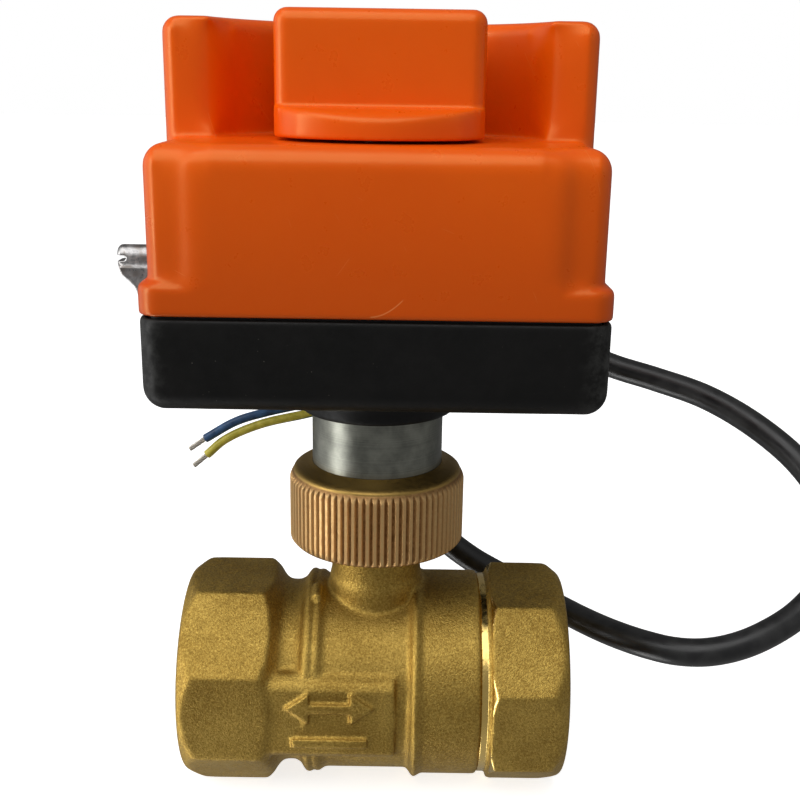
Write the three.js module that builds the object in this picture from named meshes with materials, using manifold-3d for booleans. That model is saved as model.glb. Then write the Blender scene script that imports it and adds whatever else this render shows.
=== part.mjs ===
// Motorised zone valve: a 3/4 inch two-piece brass ball valve, a knurled union nut and neck sleeve,
// and a geared actuator in a black base and an orange cover with a rotary position knob.
// Millimetres. The origin is the centre of the ball, where the pipe axis (X) crosses the stem axis (Z).
// +X runs along the pipe to the cap end, +Y to the back of the actuator, +Z up the stem.
import * as THREE from 'three';
import { mergeVertices } from 'three/addons/utils/BufferGeometryUtils.js';
import Module from 'manifold-3d';

const wasm = await Module();
wasm.setup();

// ---------------------------------------------------------------- driving dimensions

const GAP = 0.3; // clearance between neighbouring pieces

// Pipe line
const FLATS = 31.4; // across the flats of both octagons
const CORNER_R = 17.1; // just outside the corners of both octagons
const FACE_R = 15.1; // edge of the flat face at each end
const END = 28.5; // half the length of the valve
const SOCKET_R = 12.1; // inside of the female pipe thread
const SOCKET_FLOOR = 16.1; // where each pipe socket stops
const BALL_R = 11.5;
const PORT_R = 7.5; // waterway through the ball and seats
const PASSAGE_R = 8;
const CAVITY_R = 12.4; // chamber around the ball
const SEAT_POCKET_R = 10.9;
const SEAT_IN = 7.4; // inner and outer end of each seat, from the ball's centre
const SEAT_OUT = 12;
const OCTAGON_IN = 15; // where the body's octagon ends
const CAP_TILT = 6.9; // degrees, as the cap ends up when it is screwed tight
const CAP_FACE = 15.7; // shoulder of the cap
const CAP_OCTAGON = 17.2;
const NECK_R = 15.1; // turned ring between the rim and the cap's octagon
const SEAL_SEAT = 14.2; // where the cap's seal rests in the body
const BARREL_R = 14.7;
const STEP_R = 15.5; // larger part of the barrel
const STEP_X = 6.1;
const RIM_X = 15.4; // open end of the body

// Stem and union
const BOSS_R = 6.7;
const BONNET_R = 10.9;
const BONNET_Z = [24, 29.5];
const STEM_R = 4.05;
const STEM_BORE_R = 4.5;
const STEM_TOP = 36;
const DRIVE_HALF = 2.6; // half the width of the square drives
const NUT_R = 12.92;
const NUT_Z = [22.63, 34.5];
const NUT_RIM_Z = 33.5; // top of the ridges
const NUT_RIM_R = 12.7;
const NUT_RIDGES = 78;
const RIDGE = 0.45; // depth of the grooves between the ridges
const NUT_BORE_R = 11.3;
const LIP_Z = 31.5; // underside of the nut's inner lip
const SLEEVE_R = 9.55;
const SLEEVE_BORE_R = 7.2;
const SLEEVE_TOP = 52.2;
const SLEEVE_STEP_Z = 44;

// Actuator housing
const BASE_Z = [46.8, 59.25];
const BASE_HALF = 30.4;
const BACK_Y = 25;
const FRONT_Y = -19;
const WALL = 2;
const FLOOR_Z = 49.33;
const BOSS_Z = 43.1; // lower edge of the round boss under the base
const COVER_Z = 59.55;
const FLANGE_Z = 63.8;
const FLANGE_HALF = 30.5;
const COVER_HALF = 29.35;
const SHOULDER_Z = 81.03;
const TOWER_Z = 96.75;
const TOWER_HALF = 29.35;
const TOWER_Y = -2.4;
const SCOOP_Y = -7.72; // centre of the round scoop that the knob turns in
const SCOOP_R = 23.1;
const PANEL_HALF = 24; // raised panel on the front
const POST_X = 24.8;
const POSTS_Y = [-13.8, 19.6];

// Knob
const KNOB_R = 14.4;
const KNOB_Z = [81.44, 97.73];
const KNOB_BAR_HALF = 7; // half the thickness and half the length of the grip
const KNOB_BAR_LENGTH = 13.9;

// Gear train, all of one module
const MODULE = 0.6;
const TEETH = { output: 44, wheel_b: 34, wheel_a: 30, pinion: 10 };
const SHAFT_R = 3;
const PIN_R = 1;
const GEAR_B = [-13.5, 9];
const PLATE_Z = [60.4, 61.4];
const MOTOR_R = 9.7;

// Release lever, pivoting along X in the left wall
const LEVER = { y: -4, z: 64.9, r: 1.75, tip: -35.8, inner: -23.6 };

// Cable and its three cores
const CABLE_R = 2.2;
const CORE_R = 0.75;
const TIP_R = 0.45;
const GLAND = { x: 8, z: 53.6, r: 3.8, bore: 2.5 };

// ---------------------------------------------------------------- materials

function finish(color, roughness, metalness = 0) {
  return new THREE.MeshStandardMaterial({ color, roughness, metalness });
}

const materials = {
  brass: finish(0xa58a3e, 0.45, 1),
  nut_brass: finish(0xa57c4c, 0.4, 1),
  steel: finish(0x9a9c98, 0.35, 1),
  bright: finish(0xb8babc, 0.25, 1),
  orange: finish(0xd25a1c, 0.35),
  black: finish(0x1c1c1c, 0.5),
  rubber: finish(0x151515, 0.8),
  ptfe: finish(0xeeeeea, 0.5),
  acetal: finish(0xe6e2d4, 0.45),
  switch: finish(0x2b2f38, 0.5),
  board: finish(0x2f6b3c, 0.5),
  jacket: finish(0x161616, 0.55),
  blue: finish(0x2a4a78, 0.5),
  brown: finish(0x5c3a22, 0.5),
  earth: finish(0xa8b040, 0.5),
  copper: finish(0xb0aca4, 0.4, 1),
};

// ---------------------------------------------------------------- solids

// A closed three.js geometry as a solid, with its faces pointing out
function solid(geometry) {
  const bare = geometry.clone();
  bare.deleteAttribute('normal');
  bare.deleteAttribute('uv');
  const merged = mergeVertices(bare, 1e-4);
  const points = merged.attributes.position;
  const index = merged.index.array;
  const faces = [];
  let volume = 0;
  const a = new THREE.Vector3();
  const b = new THREE.Vector3();
  const c = new THREE.Vector3();
  for (let i = 0; i < index.length; i += 3) {
    const [p, q, r] = [index[i], index[i + 1], index[i + 2]];
    if (p === q || q === r || r === p) continue;
    faces.push([p, q, r]);
    a.fromBufferAttribute(points, p);
    b.fromBufferAttribute(points, q);
    c.fromBufferAttribute(points, r);
    volume += a.dot(b.cross(c));
  }
  const turned_out = volume > 0 ? faces : faces.map(([p, q, r]) => [p, r, q]);
  const mesh = new wasm.Mesh({
    numProp: 3,
    vertProperties: new Float32Array(points.array),
    triVerts: new Uint32Array(turned_out.flat()),
  });
  return new wasm.Manifold(mesh);
}

// A solid of revolution from [radius, height] points, about X, Y or Z
function turned(points, axis = 'z', segments = 28) {
  const outline = points.map(([r, h]) => new THREE.Vector2(r, h));
  const last = points[points.length - 1];
  if (points[0][0] > 0 || last[0] > 0) outline.push(outline[0].clone());
  const geometry = new THREE.LatheGeometry(outline, segments);
  if (axis === 'z') geometry.rotateX(Math.PI / 2);
  if (axis === 'x') geometry.rotateZ(-Math.PI / 2);
  return solid(geometry);
}

// A plain cylinder from one height to another
function rod(r, low, high, axis = 'z', segments = 28) {
  return turned([[0, low], [r, low], [r, high], [0, high]], axis, segments);
}

function ring(inner, outer, low, high, axis = 'z', segments = 28) {
  return turned([[inner, low], [outer, low], [outer, high], [inner, high]], axis, segments);
}

function box(x, y, z) {
  const geometry = new THREE.BoxGeometry(x[1] - x[0], y[1] - y[0], z[1] - z[0]);
  return solid(geometry).translate([(x[0] + x[1]) / 2, (y[0] + y[1]) / 2, (z[0] + z[1]) / 2]);
}

// A rectangle whose two lower and two upper corners have their own radii
function rounded_rectangle([x0, x1], [y0, y1], low, high) {
  const shape = new THREE.Shape();
  const quarter = Math.PI / 2;
  const corner = (x, y, r, turn) => {
    if (r > 0) shape.absarc(x, y, r, turn * quarter, (turn + 1) * quarter, false);
    else shape.lineTo(x, y);
  };
  shape.moveTo(x0 + low, y0);
  corner(x1 - low, y0 + low, low, 3);
  corner(x1 - high, y1 - high, high, 0);
  corner(x0 + high, y1 - high, high, 1);
  corner(x0 + low, y0 + low, low, 2);
  return shape;
}

function extruded(shape, low, high, curveSegments = 2) {
  const geometry = new THREE.ExtrudeGeometry(shape, { depth: high - low, bevelEnabled: false, curveSegments });
  return solid(geometry).translate([0, 0, low]);
}

// A block with rounded upright corners and its own radius on its lower and upper edges
function soft_block(x, y, z, corner, bottom, top) {
  const plan = extruded(rounded_rectangle(x, y, corner, corner), z[0], z[1]);
  if (bottom === 0 && top === 0) return plan;
  const front = extruded(rounded_rectangle(x, z, bottom, top), -y[1], -y[0]).rotate([90, 0, 0]);
  const side = extruded(rounded_rectangle(y, z, bottom, top), x[0], x[1]).rotate([90, 0, 90]);
  return plan.intersect(front).intersect(side);
}

// An octagonal bar along X with two flats level, chamfered at either end by a turned profile
function octagon(low, high, chamfer) {
  const corner = FLATS / 2 / Math.cos(Math.PI / 8);
  const shape = new THREE.Shape();
  for (let i = 0; i < 8; i++) {
    const angle = Math.PI / 8 + (i * Math.PI) / 4;
    const point = [corner * Math.cos(angle), corner * Math.sin(angle)];
    if (i === 0) shape.moveTo(...point);
    else shape.lineTo(...point);
  }
  return extruded(shape, low, high).rotate([0, 90, 0]).intersect(turned(chamfer, 'x', 32));
}

// A spur gear about Z, with its first tooth at the angle phase (radians)
function gear(teeth, low, high, phase) {
  const pitch = (MODULE * teeth) / 2;
  const root = pitch - 1.15 * MODULE;
  const tip = pitch + 0.85 * MODULE;
  const step = (2 * Math.PI) / teeth;
  const shape = new THREE.Shape();
  const flank = [[root, -0.3], [tip, -0.1], [tip, 0.1], [root, 0.3]];
  for (let i = 0; i < teeth; i++) {
    flank.forEach(([r, share], k) => {
      const angle = phase + step * (i + share);
      const point = [r * Math.cos(angle), r * Math.sin(angle)];
      if (i === 0 && k === 0) shape.moveTo(...point);
      else shape.lineTo(...point);
    });
  }
  return extruded(shape, low, high);
}

// Where a follower's tooth has to be for it to mesh, with the driver at angle toward it
function mesh_phase(toward, driver_phase, driver_teeth, teeth) {
  return toward + Math.PI + Math.PI / teeth - ((driver_phase - toward) * driver_teeth) / teeth;
}

// A round tube along a smooth line through points
function tube(points, radius, steps, sides = 8) {
  const path = new THREE.CatmullRomCurve3(points.map((p) => new THREE.Vector3(...p)), false, 'centripetal');
  const section = new THREE.Shape();
  section.absarc(0, 0, radius, 0, 2 * Math.PI, false);
  const geometry = new THREE.ExtrudeGeometry(section, {
    steps,
    extrudePath: path,
    curveSegments: sides / 2,
    bevelEnabled: false,
  });
  return solid(geometry);
}

// ---------------------------------------------------------------- the scene graph

const valve = new THREE.Group();
valve.name = 'zone_valve';

function add(name, shape, material) {
  const mesh = shape.getMesh();
  const geometry = new THREE.BufferGeometry();
  geometry.setAttribute('position', new THREE.BufferAttribute(new Float32Array(mesh.vertProperties), 3));
  geometry.setIndex(new THREE.BufferAttribute(new Uint32Array(mesh.triVerts), 1));
  geometry.computeVertexNormals();
  const node = new THREE.Mesh(geometry, materials[material]);
  node.name = name;
  valve.add(node);
  return node;
}

// ---------------------------------------------------------------- valve body and cap

function valve_body() {
  const end = octagon(-END, -OCTAGON_IN, [
    [0, -END], [FACE_R, -END], [CORNER_R, -END + 2.5], [CORNER_R, -OCTAGON_IN - 1.4], [15.5, -OCTAGON_IN],
    [0, -OCTAGON_IN],
  ]);
  const barrel = turned([
    [0, -OCTAGON_IN - 1], [15, -OCTAGON_IN], [13.7, -OCTAGON_IN + 1.8], [13.7, -10.3], [BARREL_R + 0.3, -9.3], [BARREL_R, -8],
    [BARREL_R, STEP_X - 0.4], [STEP_R, STEP_X + 0.4], [STEP_R, RIM_X - 0.4], [STEP_R - 0.4, RIM_X], [0, RIM_X],
  ], 'x', 32);
  const boss = turned([
    [0, 6], [7.8, 6], [7.6, 13.6], [7.1, 15], [7.1, 16.4], [BOSS_R, 18], [BOSS_R, BONNET_Z[0]],
    [BONNET_R, BONNET_Z[0]], [BONNET_R, BONNET_Z[1]], [0, BONNET_Z[1]],
  ]);
  const label_pad = box([-OCTAGON_IN - 0.5, 3.2], [-15.3, -9], [-6.5, 5.8]);
  const cast_nub = rod(0.9, 9, 15.4, 'z', 10).rotate([38, 0, 0]).translate([-7.4, 0, 0]);
  const flow_mark = raised_arrow();
  const shape = end.add(barrel).add(boss).add(label_pad).add(cast_nub).add(flow_mark);
  const waterway = turned([
    [0, -END - 1], [SOCKET_R + 1, -END - 1], [SOCKET_R + 1, -END], [SOCKET_R, -END + 1], [SOCKET_R, -SOCKET_FLOOR],
    [PASSAGE_R, -SOCKET_FLOOR], [PASSAGE_R, -SEAT_OUT - GAP], [SEAT_POCKET_R, -SEAT_OUT - GAP],
    [SEAT_POCKET_R, -SEAT_IN], [CAVITY_R, -SEAT_IN], [CAVITY_R, SEAL_SEAT], [14, SEAL_SEAT], [14, RIM_X + 1], [0, RIM_X + 1],
  ], 'x', 32);
  const stem_bore = turned([
    [0, 5], [5.6, 5], [5.6, 14.2], [STEM_BORE_R, 14.2], [STEM_BORE_R, 31], [0, 31],
  ], 'z', 24);
  return shape.subtract(waterway).subtract(stem_bore);
}

// Generic cast mark: a two-headed flow arrow above a plain bar
function raised_arrow() {
  const y = [-15.75, -15];
  let mark = box([-10, -2.4], y, [1.5, 2.6]);
  for (const side of [-1, 1]) {
    const head = new THREE.Shape();
    head.moveTo(side * 6.4, 0);
    head.lineTo(side * 3.1, 2.3);
    head.lineTo(side * 3.1, -2.3);
    mark = mark.add(extruded(head, -y[1], -y[0]).rotate([90, 0, 0]).translate([-6.2, 0, 2.1]));
  }
  return mark.add(box([-11.6, -0.8], y, [-4, -2.9]));
}

function end_cap() {
  const grip = octagon(CAP_OCTAGON, END, [
    [0, CAP_OCTAGON], [15.45, CAP_OCTAGON], [CORNER_R, CAP_OCTAGON + 1.2], [CORNER_R, END - 2.5], [FACE_R, END],
    [0, END],
  ]).rotate([CAP_TILT, 0, 0]);
  const neck = turned([
    [0, SEAT_IN], [12.1, SEAT_IN], [12.1, CAP_FACE], [NECK_R, CAP_FACE], [NECK_R, CAP_OCTAGON + 1.5],
    [0, CAP_OCTAGON + 1.5],
  ], 'x', 32);
  const waterway = turned([
    [0, SEAT_IN - 1], [SEAT_POCKET_R, SEAT_IN - 1], [SEAT_POCKET_R, SEAT_OUT + GAP], [PASSAGE_R, SEAT_OUT + GAP],
    [PASSAGE_R, SOCKET_FLOOR], [SOCKET_R, SOCKET_FLOOR], [SOCKET_R, END - 1], [SOCKET_R + 1, END],
    [SOCKET_R + 1, END + 1], [0, END + 1],
  ], 'x', 32);
  return grip.add(neck).subtract(waterway);
}

function seat(side) {
  const blank = ring(PORT_R, SEAT_POCKET_R - GAP, SEAT_IN, SEAT_OUT, 'x', 24);
  const hollow = solid(new THREE.SphereGeometry(BALL_R + GAP, 24, 14));
  const shape = blank.subtract(hollow);
  return side > 0 ? shape : shape.rotate([0, 0, 180]);
}

function ball() {
  const sphere = solid(new THREE.SphereGeometry(BALL_R, 24, 14));
  const port = rod(PORT_R, -BALL_R - 1, BALL_R + 1, 'x', 32);
  const slot = box([-4.4, 4.4], [-1.7, 1.7], [8.6, BALL_R + 1]);
  return sphere.subtract(port).subtract(slot);
}

function valve_stem() {
  const post = turned([
    [0, 11.2], [5.2, 11.6], [5.2, 13], [STEM_R, 13.2], [STEM_R, 17], [2.9, 17], [2.9, 19], [STEM_R, 19],
    [STEM_R, 20.6], [2.9, 20.6], [2.9, 22.6], [STEM_R, 22.6], [STEM_R, 30.5], [0, 30.5],
  ], 'z', 20);
  const tang = box([-4, 4], [-1.4, 1.4], [8.95, 12]);
  const drive = box([-DRIVE_HALF, DRIVE_HALF], [-DRIVE_HALF, DRIVE_HALF], [30, STEM_TOP]);
  return post.add(tang).add(drive);
}

// A rubber ring of round section about the stem axis
function o_ring(mean, thick, z, segments = 16) {
  const points = [];
  for (let i = 0; i < 6; i++) {
    const angle = (i * Math.PI) / 3;
    points.push([mean + thick * Math.cos(angle), z + thick * Math.sin(angle)]);
  }
  return turned(points, 'z', segments);
}

function build_valve() {
  add('valve_body', valve_body(), 'brass');
  add('end_cap', end_cap(), 'brass');
  add('end_cap_seal', ring(12.5, 13.7, SEAL_SEAT + GAP, CAP_FACE - GAP, 'x', 24), 'ptfe');
  add('seat_inlet', seat(-1), 'ptfe');
  add('seat_outlet', seat(1), 'ptfe');
  add('ball', ball(), 'bright');
  add('valve_stem', valve_stem(), 'brass');
  add('stem_washer', ring(4.4, 5.3, 13.35, 13.85, 'z', 24), 'ptfe');
  add('stem_oring_lower', o_ring(3.75, 0.5, 18), 'rubber');
  add('stem_oring_upper', o_ring(3.75, 0.5, 21.6), 'rubber');
}

// ---------------------------------------------------------------- union, neck and drive

function union_nut() {
  const shape = new THREE.Shape();
  for (let i = 0; i < 2 * NUT_RIDGES; i++) {
    const r = i % 2 ? NUT_R - RIDGE : NUT_R;
    const angle = (i * Math.PI) / NUT_RIDGES;
    if (i === 0) shape.moveTo(r, 0);
    else shape.lineTo(r * Math.cos(angle), r * Math.sin(angle));
  }
  const knurl = extruded(shape, NUT_Z[0], NUT_RIM_Z);
  const rim = turned([
    [0, NUT_RIM_Z - 1], [NUT_R - RIDGE, NUT_RIM_Z - 1], [NUT_R - RIDGE, NUT_RIM_Z], [NUT_RIM_R, NUT_RIM_Z],
    [NUT_RIM_R, NUT_Z[1] - 0.4], [NUT_RIM_R - 0.4, NUT_Z[1]],
    [0, NUT_Z[1]],
  ]);
  const bore = turned([
    [0, NUT_Z[0] - 1], [NUT_BORE_R, NUT_Z[0] - 1], [NUT_BORE_R, LIP_Z], [SLEEVE_R + GAP, LIP_Z],
    [SLEEVE_R + GAP, NUT_Z[1] - 0.9], [11.85, NUT_Z[1]], [11.85, NUT_Z[1] + 1], [0, NUT_Z[1] + 1],
  ]);
  return knurl.add(rim).subtract(bore);
}

function neck_sleeve() {
  return turned([
    [SLEEVE_BORE_R, 29.8], [NUT_BORE_R - 0.35, 29.8], [NUT_BORE_R - 0.35, LIP_Z - GAP], [SLEEVE_R, LIP_Z - GAP],
    [SLEEVE_R, SLEEVE_STEP_Z], [8.9, SLEEVE_STEP_Z], [8.9, 49.4], [8.1, 49.4], [8.1, 50.6], [8.9, 50.6],
    [8.9, SLEEVE_TOP], [SLEEVE_BORE_R, SLEEVE_TOP],
  ]);
}

// Spring-steel ring in the sleeve's groove, open at one side so that it can be sprung on
function snap_ring() {
  return ring(8.4, 10.6, 49.7, 50.3, 'z', 32).subtract(box([-1.6, 1.6], [-12, 0], [49, 51]));
}

function drive_coupler() {
  const socket = DRIVE_HALF + GAP;
  const lower = box([-socket, socket], [-socket, socket], [30, STEM_TOP + 0.4]);
  const upper = box([-socket, socket], [-socket, socket], [STEM_TOP + 1.6, 44]);
  return rod(6.5, 31, 43, 'z', 32).subtract(lower).subtract(upper);
}

function output_shaft() {
  const square = box([-DRIVE_HALF, DRIVE_HALF], [-DRIVE_HALF, DRIVE_HALF], [38, 43.2]);
  return square.add(rod(SHAFT_R, 43, 88, 'z', 24));
}

function build_union() {
  add('union_nut', union_nut(), 'nut_brass');
  add('neck_sleeve', neck_sleeve(), 'steel');
  add('snap_ring', snap_ring(), 'bright');
  add('drive_coupler', drive_coupler(), 'steel');
  add('output_shaft', output_shaft(), 'bright');
}

// ---------------------------------------------------------------- gear train and electrics

function build_gears() {
  const centre = (a, b) => (MODULE * (a + b)) / 2;
  const bore = (x, y, r) => rod(r, 50, 62, 'z', 16).translate([x, y, 0]);
  const turn_a = (18 * Math.PI) / 180;
  const gear_a = [
    GEAR_B[0] + centre(TEETH.wheel_b, TEETH.pinion) * Math.cos(turn_a),
    GEAR_B[1] + centre(TEETH.wheel_b, TEETH.pinion) * Math.sin(turn_a),
  ];
  const turn_m = (-5 * Math.PI) / 180;
  const motor = [
    gear_a[0] + centre(TEETH.wheel_a, TEETH.pinion) * Math.cos(turn_m),
    gear_a[1] + centre(TEETH.wheel_a, TEETH.pinion) * Math.sin(turn_m),
  ];
  const toward_b = Math.atan2(GEAR_B[1], GEAR_B[0]);

  add('output_gear', gear(TEETH.output, 52.8, 55.3, 0).subtract(bore(0, 0, SHAFT_R + GAP)), 'acetal');

  const phase_b = mesh_phase(toward_b, 0, TEETH.output, TEETH.pinion);
  const pinion_b = gear(TEETH.pinion, 52.8, 55.8, phase_b);
  const wheel_b = gear(TEETH.wheel_b, 55.6, 57.6, 0);
  add('gear_b', pinion_b.add(wheel_b).translate([...GEAR_B, 0]).subtract(bore(...GEAR_B, PIN_R + GAP)), 'acetal');

  const phase_a = mesh_phase(turn_a, 0, TEETH.wheel_b, TEETH.pinion);
  const pinion_a = gear(TEETH.pinion, 55.7, 58.2, phase_a);
  const wheel_a = gear(TEETH.wheel_a, 58, 59.9, 0);
  add('gear_a', pinion_a.add(wheel_a).translate([...gear_a, 0]).subtract(bore(...gear_a, PIN_R + GAP)), 'acetal');

  const phase_m = mesh_phase(turn_m, 0, TEETH.wheel_a, TEETH.pinion);
  const pinion_m = gear(TEETH.pinion, 58, 59.9, phase_m).add(rod(PIN_R, 59, 66, 'z', 16));
  add('motor_pinion', pinion_m.translate([...motor, 0]), 'bright');

  const pin_b = rod(PIN_R, FLOOR_Z + GAP, PLATE_Z[1], 'z', 16).translate([...GEAR_B, 0]);
  const pin_a = rod(PIN_R, 55.8, PLATE_Z[1] + 0.4, 'z', 16).add(rod(1.6, PLATE_Z[1] + GAP, 62.3, 'z', 16));
  add('gear_b_pin', pin_b, 'bright');
  add('gear_a_pin', pin_a.translate([...gear_a, 0]), 'bright');

  let plate = extruded(rounded_rectangle([-21.9, 21.9], [-15.8, 21.9], 2, 2), ...PLATE_Z);
  for (const [x, y, r] of [
    [0, 0, SHAFT_R + 0.4], [...GEAR_B, PIN_R + GAP], [...gear_a, PIN_R + GAP], [...motor, 4],
    ...PILLARS.map(([x, y]) => [x, y, 1.1]),
  ]) {
    plate = plate.subtract(bore(x, y, r));
  }
  add('gear_plate', plate, 'steel');

  const can = turned([
    [0, 61.7], [MOTOR_R, 61.7], [MOTOR_R, 77.2], [MOTOR_R - 0.7, 77.9], [0, 77.9],
  ], 'z', 32).subtract(rod(PIN_R + GAP, 61, 66.4, 'z', 16));
  add('motor', can.translate([...motor, 0]), 'bright');
}

// Screw pillars that carry the gear plate
const PILLARS = [[-19.4, -13.2], [19.4, -13.2], [20.4, 18.4]];

function cam(low, high, lobe) {
  const shape = new THREE.Shape();
  const count = 36;
  for (let i = 0; i < count; i++) {
    const angle = (i * 2 * Math.PI) / count;
    const off = Math.abs(Math.atan2(Math.sin(angle - lobe), Math.cos(angle - lobe)));
    const r = off < 0.5 ? 5.8 : 4.8;
    if (i === 0) shape.moveTo(r, 0);
    else shape.lineTo(r * Math.cos(angle), r * Math.sin(angle));
  }
  return extruded(shape, low, high).subtract(rod(SHAFT_R + GAP, low - 1, high + 1, 'z', 24));
}

function build_switches() {
  const levels = { open: [61.7, 67.5], shut: [68, 73.8] };
  for (const [name, z] of Object.entries(levels)) {
    const middle = (z[0] + z[1]) / 2;
    const guide = rod(1.1, -12, -8, 'x', 12).translate([0, 0, middle]);
    add(`switch_${name}`, box([-21, -8.5], [-3.2, 3.2], z).subtract(guide), 'switch');
    add(`plunger_${name}`, rod(0.8, -10.8, -6.2, 'x', 12).translate([0, 0, middle]), 'acetal');
    const lobe = name === 'open' ? Math.PI : Math.PI * 1.5;
    add(`cam_${name}`, cam(middle - 1.5, middle + 1.5, lobe), 'acetal');
  }
  add('capacitor', soft_block([5, 15], [-14.4, -7], [61.7, 73.5], 0.8, 0, 0.8), 'orange');
  add('circuit_board', box([-20, 20], [19.2, 20.8], [79.8, 93.2]), 'board');
}

// ---------------------------------------------------------------- base, cover and knob

function base() {
  const middle = [-BASE_HALF, BASE_HALF];
  const outside = soft_block(middle, [FRONT_Y, BACK_Y], BASE_Z, 2.6, 3.4, 0);
  const boss = turned([[0, BOSS_Z], [11.3, BOSS_Z], [11.7, 45.6], [12.6, BASE_Z[0] + 1], [0, BASE_Z[0] + 1]]);
  const room = [BASE_HALF - WALL, BASE_Z[1] + 1];
  const cavity = soft_block([-room[0], room[0]], [FRONT_Y + WALL, BACK_Y - WALL], [FLOOR_Z, room[1]], 1.4, 0, 0);
  const ledge = soft_block([-29.4, 29.4], [FRONT_Y + 1, BACK_Y - 1], [58.2, room[1]], 1.8, 0, 0);
  let shape = outside.add(boss).subtract(cavity).subtract(ledge);
  for (const side of [-1, 1]) {
    for (const y of POSTS_Y) {
      const post = rod(3.1, FLOOR_Z - 1, 58.2, 'z', 12);
      shape = shape.add(post.translate([side * POST_X, y, 0]));
    }
  }
  for (const [x, y] of PILLARS) {
    shape = shape.add(rod(1.9, FLOOR_Z - 1, PLATE_Z[0] - GAP, 'z', 10).translate([x, y, 0]));
  }
  for (const side of [-1, 1]) {
    for (const y of POSTS_Y) {
      const hole = turned([[0, 47], [2.9, 47], [2.9, 50], [1.5, 50], [1.5, 60], [0, 60]], 'z', 12);
      shape = shape.subtract(hole.translate([side * POST_X, y, 0]));
    }
  }
  for (const [x, y] of PILLARS) {
    shape = shape.subtract(rod(1.1, 52, 62, 'z', 8).translate([x, y, 0]));
  }
  const neck_hole = turned([
    [0, 42], [SLEEVE_R + GAP, 42], [SLEEVE_R + GAP, SLEEVE_STEP_Z + GAP], [9.2, SLEEVE_STEP_Z + GAP], [9.2, 50],
    [0, 50],
  ]);
  const gland_hole = rod(3.2, BACK_Y - WALL - 1, BACK_Y + 1, 'y', 20).translate([GLAND.x, 0, GLAND.z]);
  return shape.subtract(neck_hole).subtract(gland_hole);
}

function cover() {
  const half = (w) => [-w, w];
  const flange = soft_block(half(FLANGE_HALF), [FRONT_Y, BACK_Y], [COVER_Z, FLANGE_Z], 3, 0, 1);
  const walls = soft_block(half(COVER_HALF), [FRONT_Y + 1, BACK_Y - 1], [COVER_Z + 1, SHOULDER_Z], 2.9, 0, 2.9);
  const panel = soft_block(half(PANEL_HALF), [FRONT_Y, 0], [COVER_Z + 1, SHOULDER_Z], 1, 0, 2.9);
  const tower = soft_block(half(TOWER_HALF), [TOWER_Y, BACK_Y - 1], [SHOULDER_Z - 3, TOWER_Z], 2.5, 0, 2.2);
  const scoop = rod(SCOOP_R, SHOULDER_Z, TOWER_Z + 1, 'z', 44).translate([0, SCOOP_Y, 0]);
  let shape = tower.subtract(scoop).add(walls).add(panel).add(flange);
  const roof = SHOULDER_Z - WALL;
  const lower = soft_block(half(27.4), [-16.4, 22.2], [COVER_Z - 1, roof], 1.2, 0, 0);
  const keep_scoop = rod(SCOOP_R + WALL, roof, TOWER_Z + 1, 'z', 36).translate([0, SCOOP_Y, 0]);
  const upper = soft_block(half(27), [TOWER_Y + WALL, 22], [roof - 3, TOWER_Z - WALL], 1.2, 0, 0);
  const seal_room = soft_block(half(29.4), [FRONT_Y + 1, BACK_Y - 1], [COVER_Z - 1, 60.4], 1.8, 0, 0);
  shape = shape.subtract(lower).subtract(upper.subtract(keep_scoop)).subtract(seal_room);
  for (const side of [-1, 1]) {
    for (const y of POSTS_Y) {
      const post = ring(1.5, 2.8, 60.4, roof + 0.5, 'z', 12);
      shape = shape.add(post.translate([side * POST_X, y, 0]));
    }
  }
  const seal_boss = ring(4.8, 6.2, 76.6, roof + 0.5, 'z', 16);
  const shaft_hole = rod(SHAFT_R + 0.4, roof - 2, SHOULDER_Z + 1, 'z', 16);
  const lever_hole = rod(LEVER.r + 0.4, -31, -26, 'x', 16).translate([0, LEVER.y, LEVER.z]);
  return shape.add(seal_boss).subtract(shaft_hole).subtract(lever_hole);
}

function cover_seal() {
  const outside = soft_block([-29.1, 29.1], [FRONT_Y + 1.3, BACK_Y - 1.3], [58.5, 60.1], 1.6, 0, 0);
  const inside = soft_block([-28.5, 28.5], [FRONT_Y + 1.9, BACK_Y - 1.9], [58, 61], 1.4, 0, 0);
  return outside.subtract(inside);
}

function knob() {
  const [low, high] = KNOB_Z;
  const disc = turned([
    [0, low], [KNOB_R - 0.3, low], [KNOB_R, low + 0.3], [KNOB_R, low + 2.3], [KNOB_R - 0.6, low + 2.9],
    [KNOB_BAR_HALF, low + 3.8], [0, low + 3.8],
  ], 'z', 40);
  const length = [-KNOB_BAR_LENGTH, KNOB_BAR_LENGTH];
  const bar = soft_block(length, [-KNOB_BAR_HALF, KNOB_BAR_HALF], [low + 2.9, high], 2, 0, 1.8);
  const socket = rod(SHAFT_R + GAP, low - 1, 88 + GAP, 'z', 24);
  return bar.add(disc).subtract(socket);
}

// A pan-head screw standing on its head
function screw(head_r, head, shank_r, tip) {
  return turned([
    [0, head[0]], [head_r - 0.4, head[0]], [head_r, head[0] + 0.4], [head_r, head[1]], [shank_r, head[1]],
    [shank_r, tip - 0.8], [0, tip],
  ], 'z', 12);
}

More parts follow.
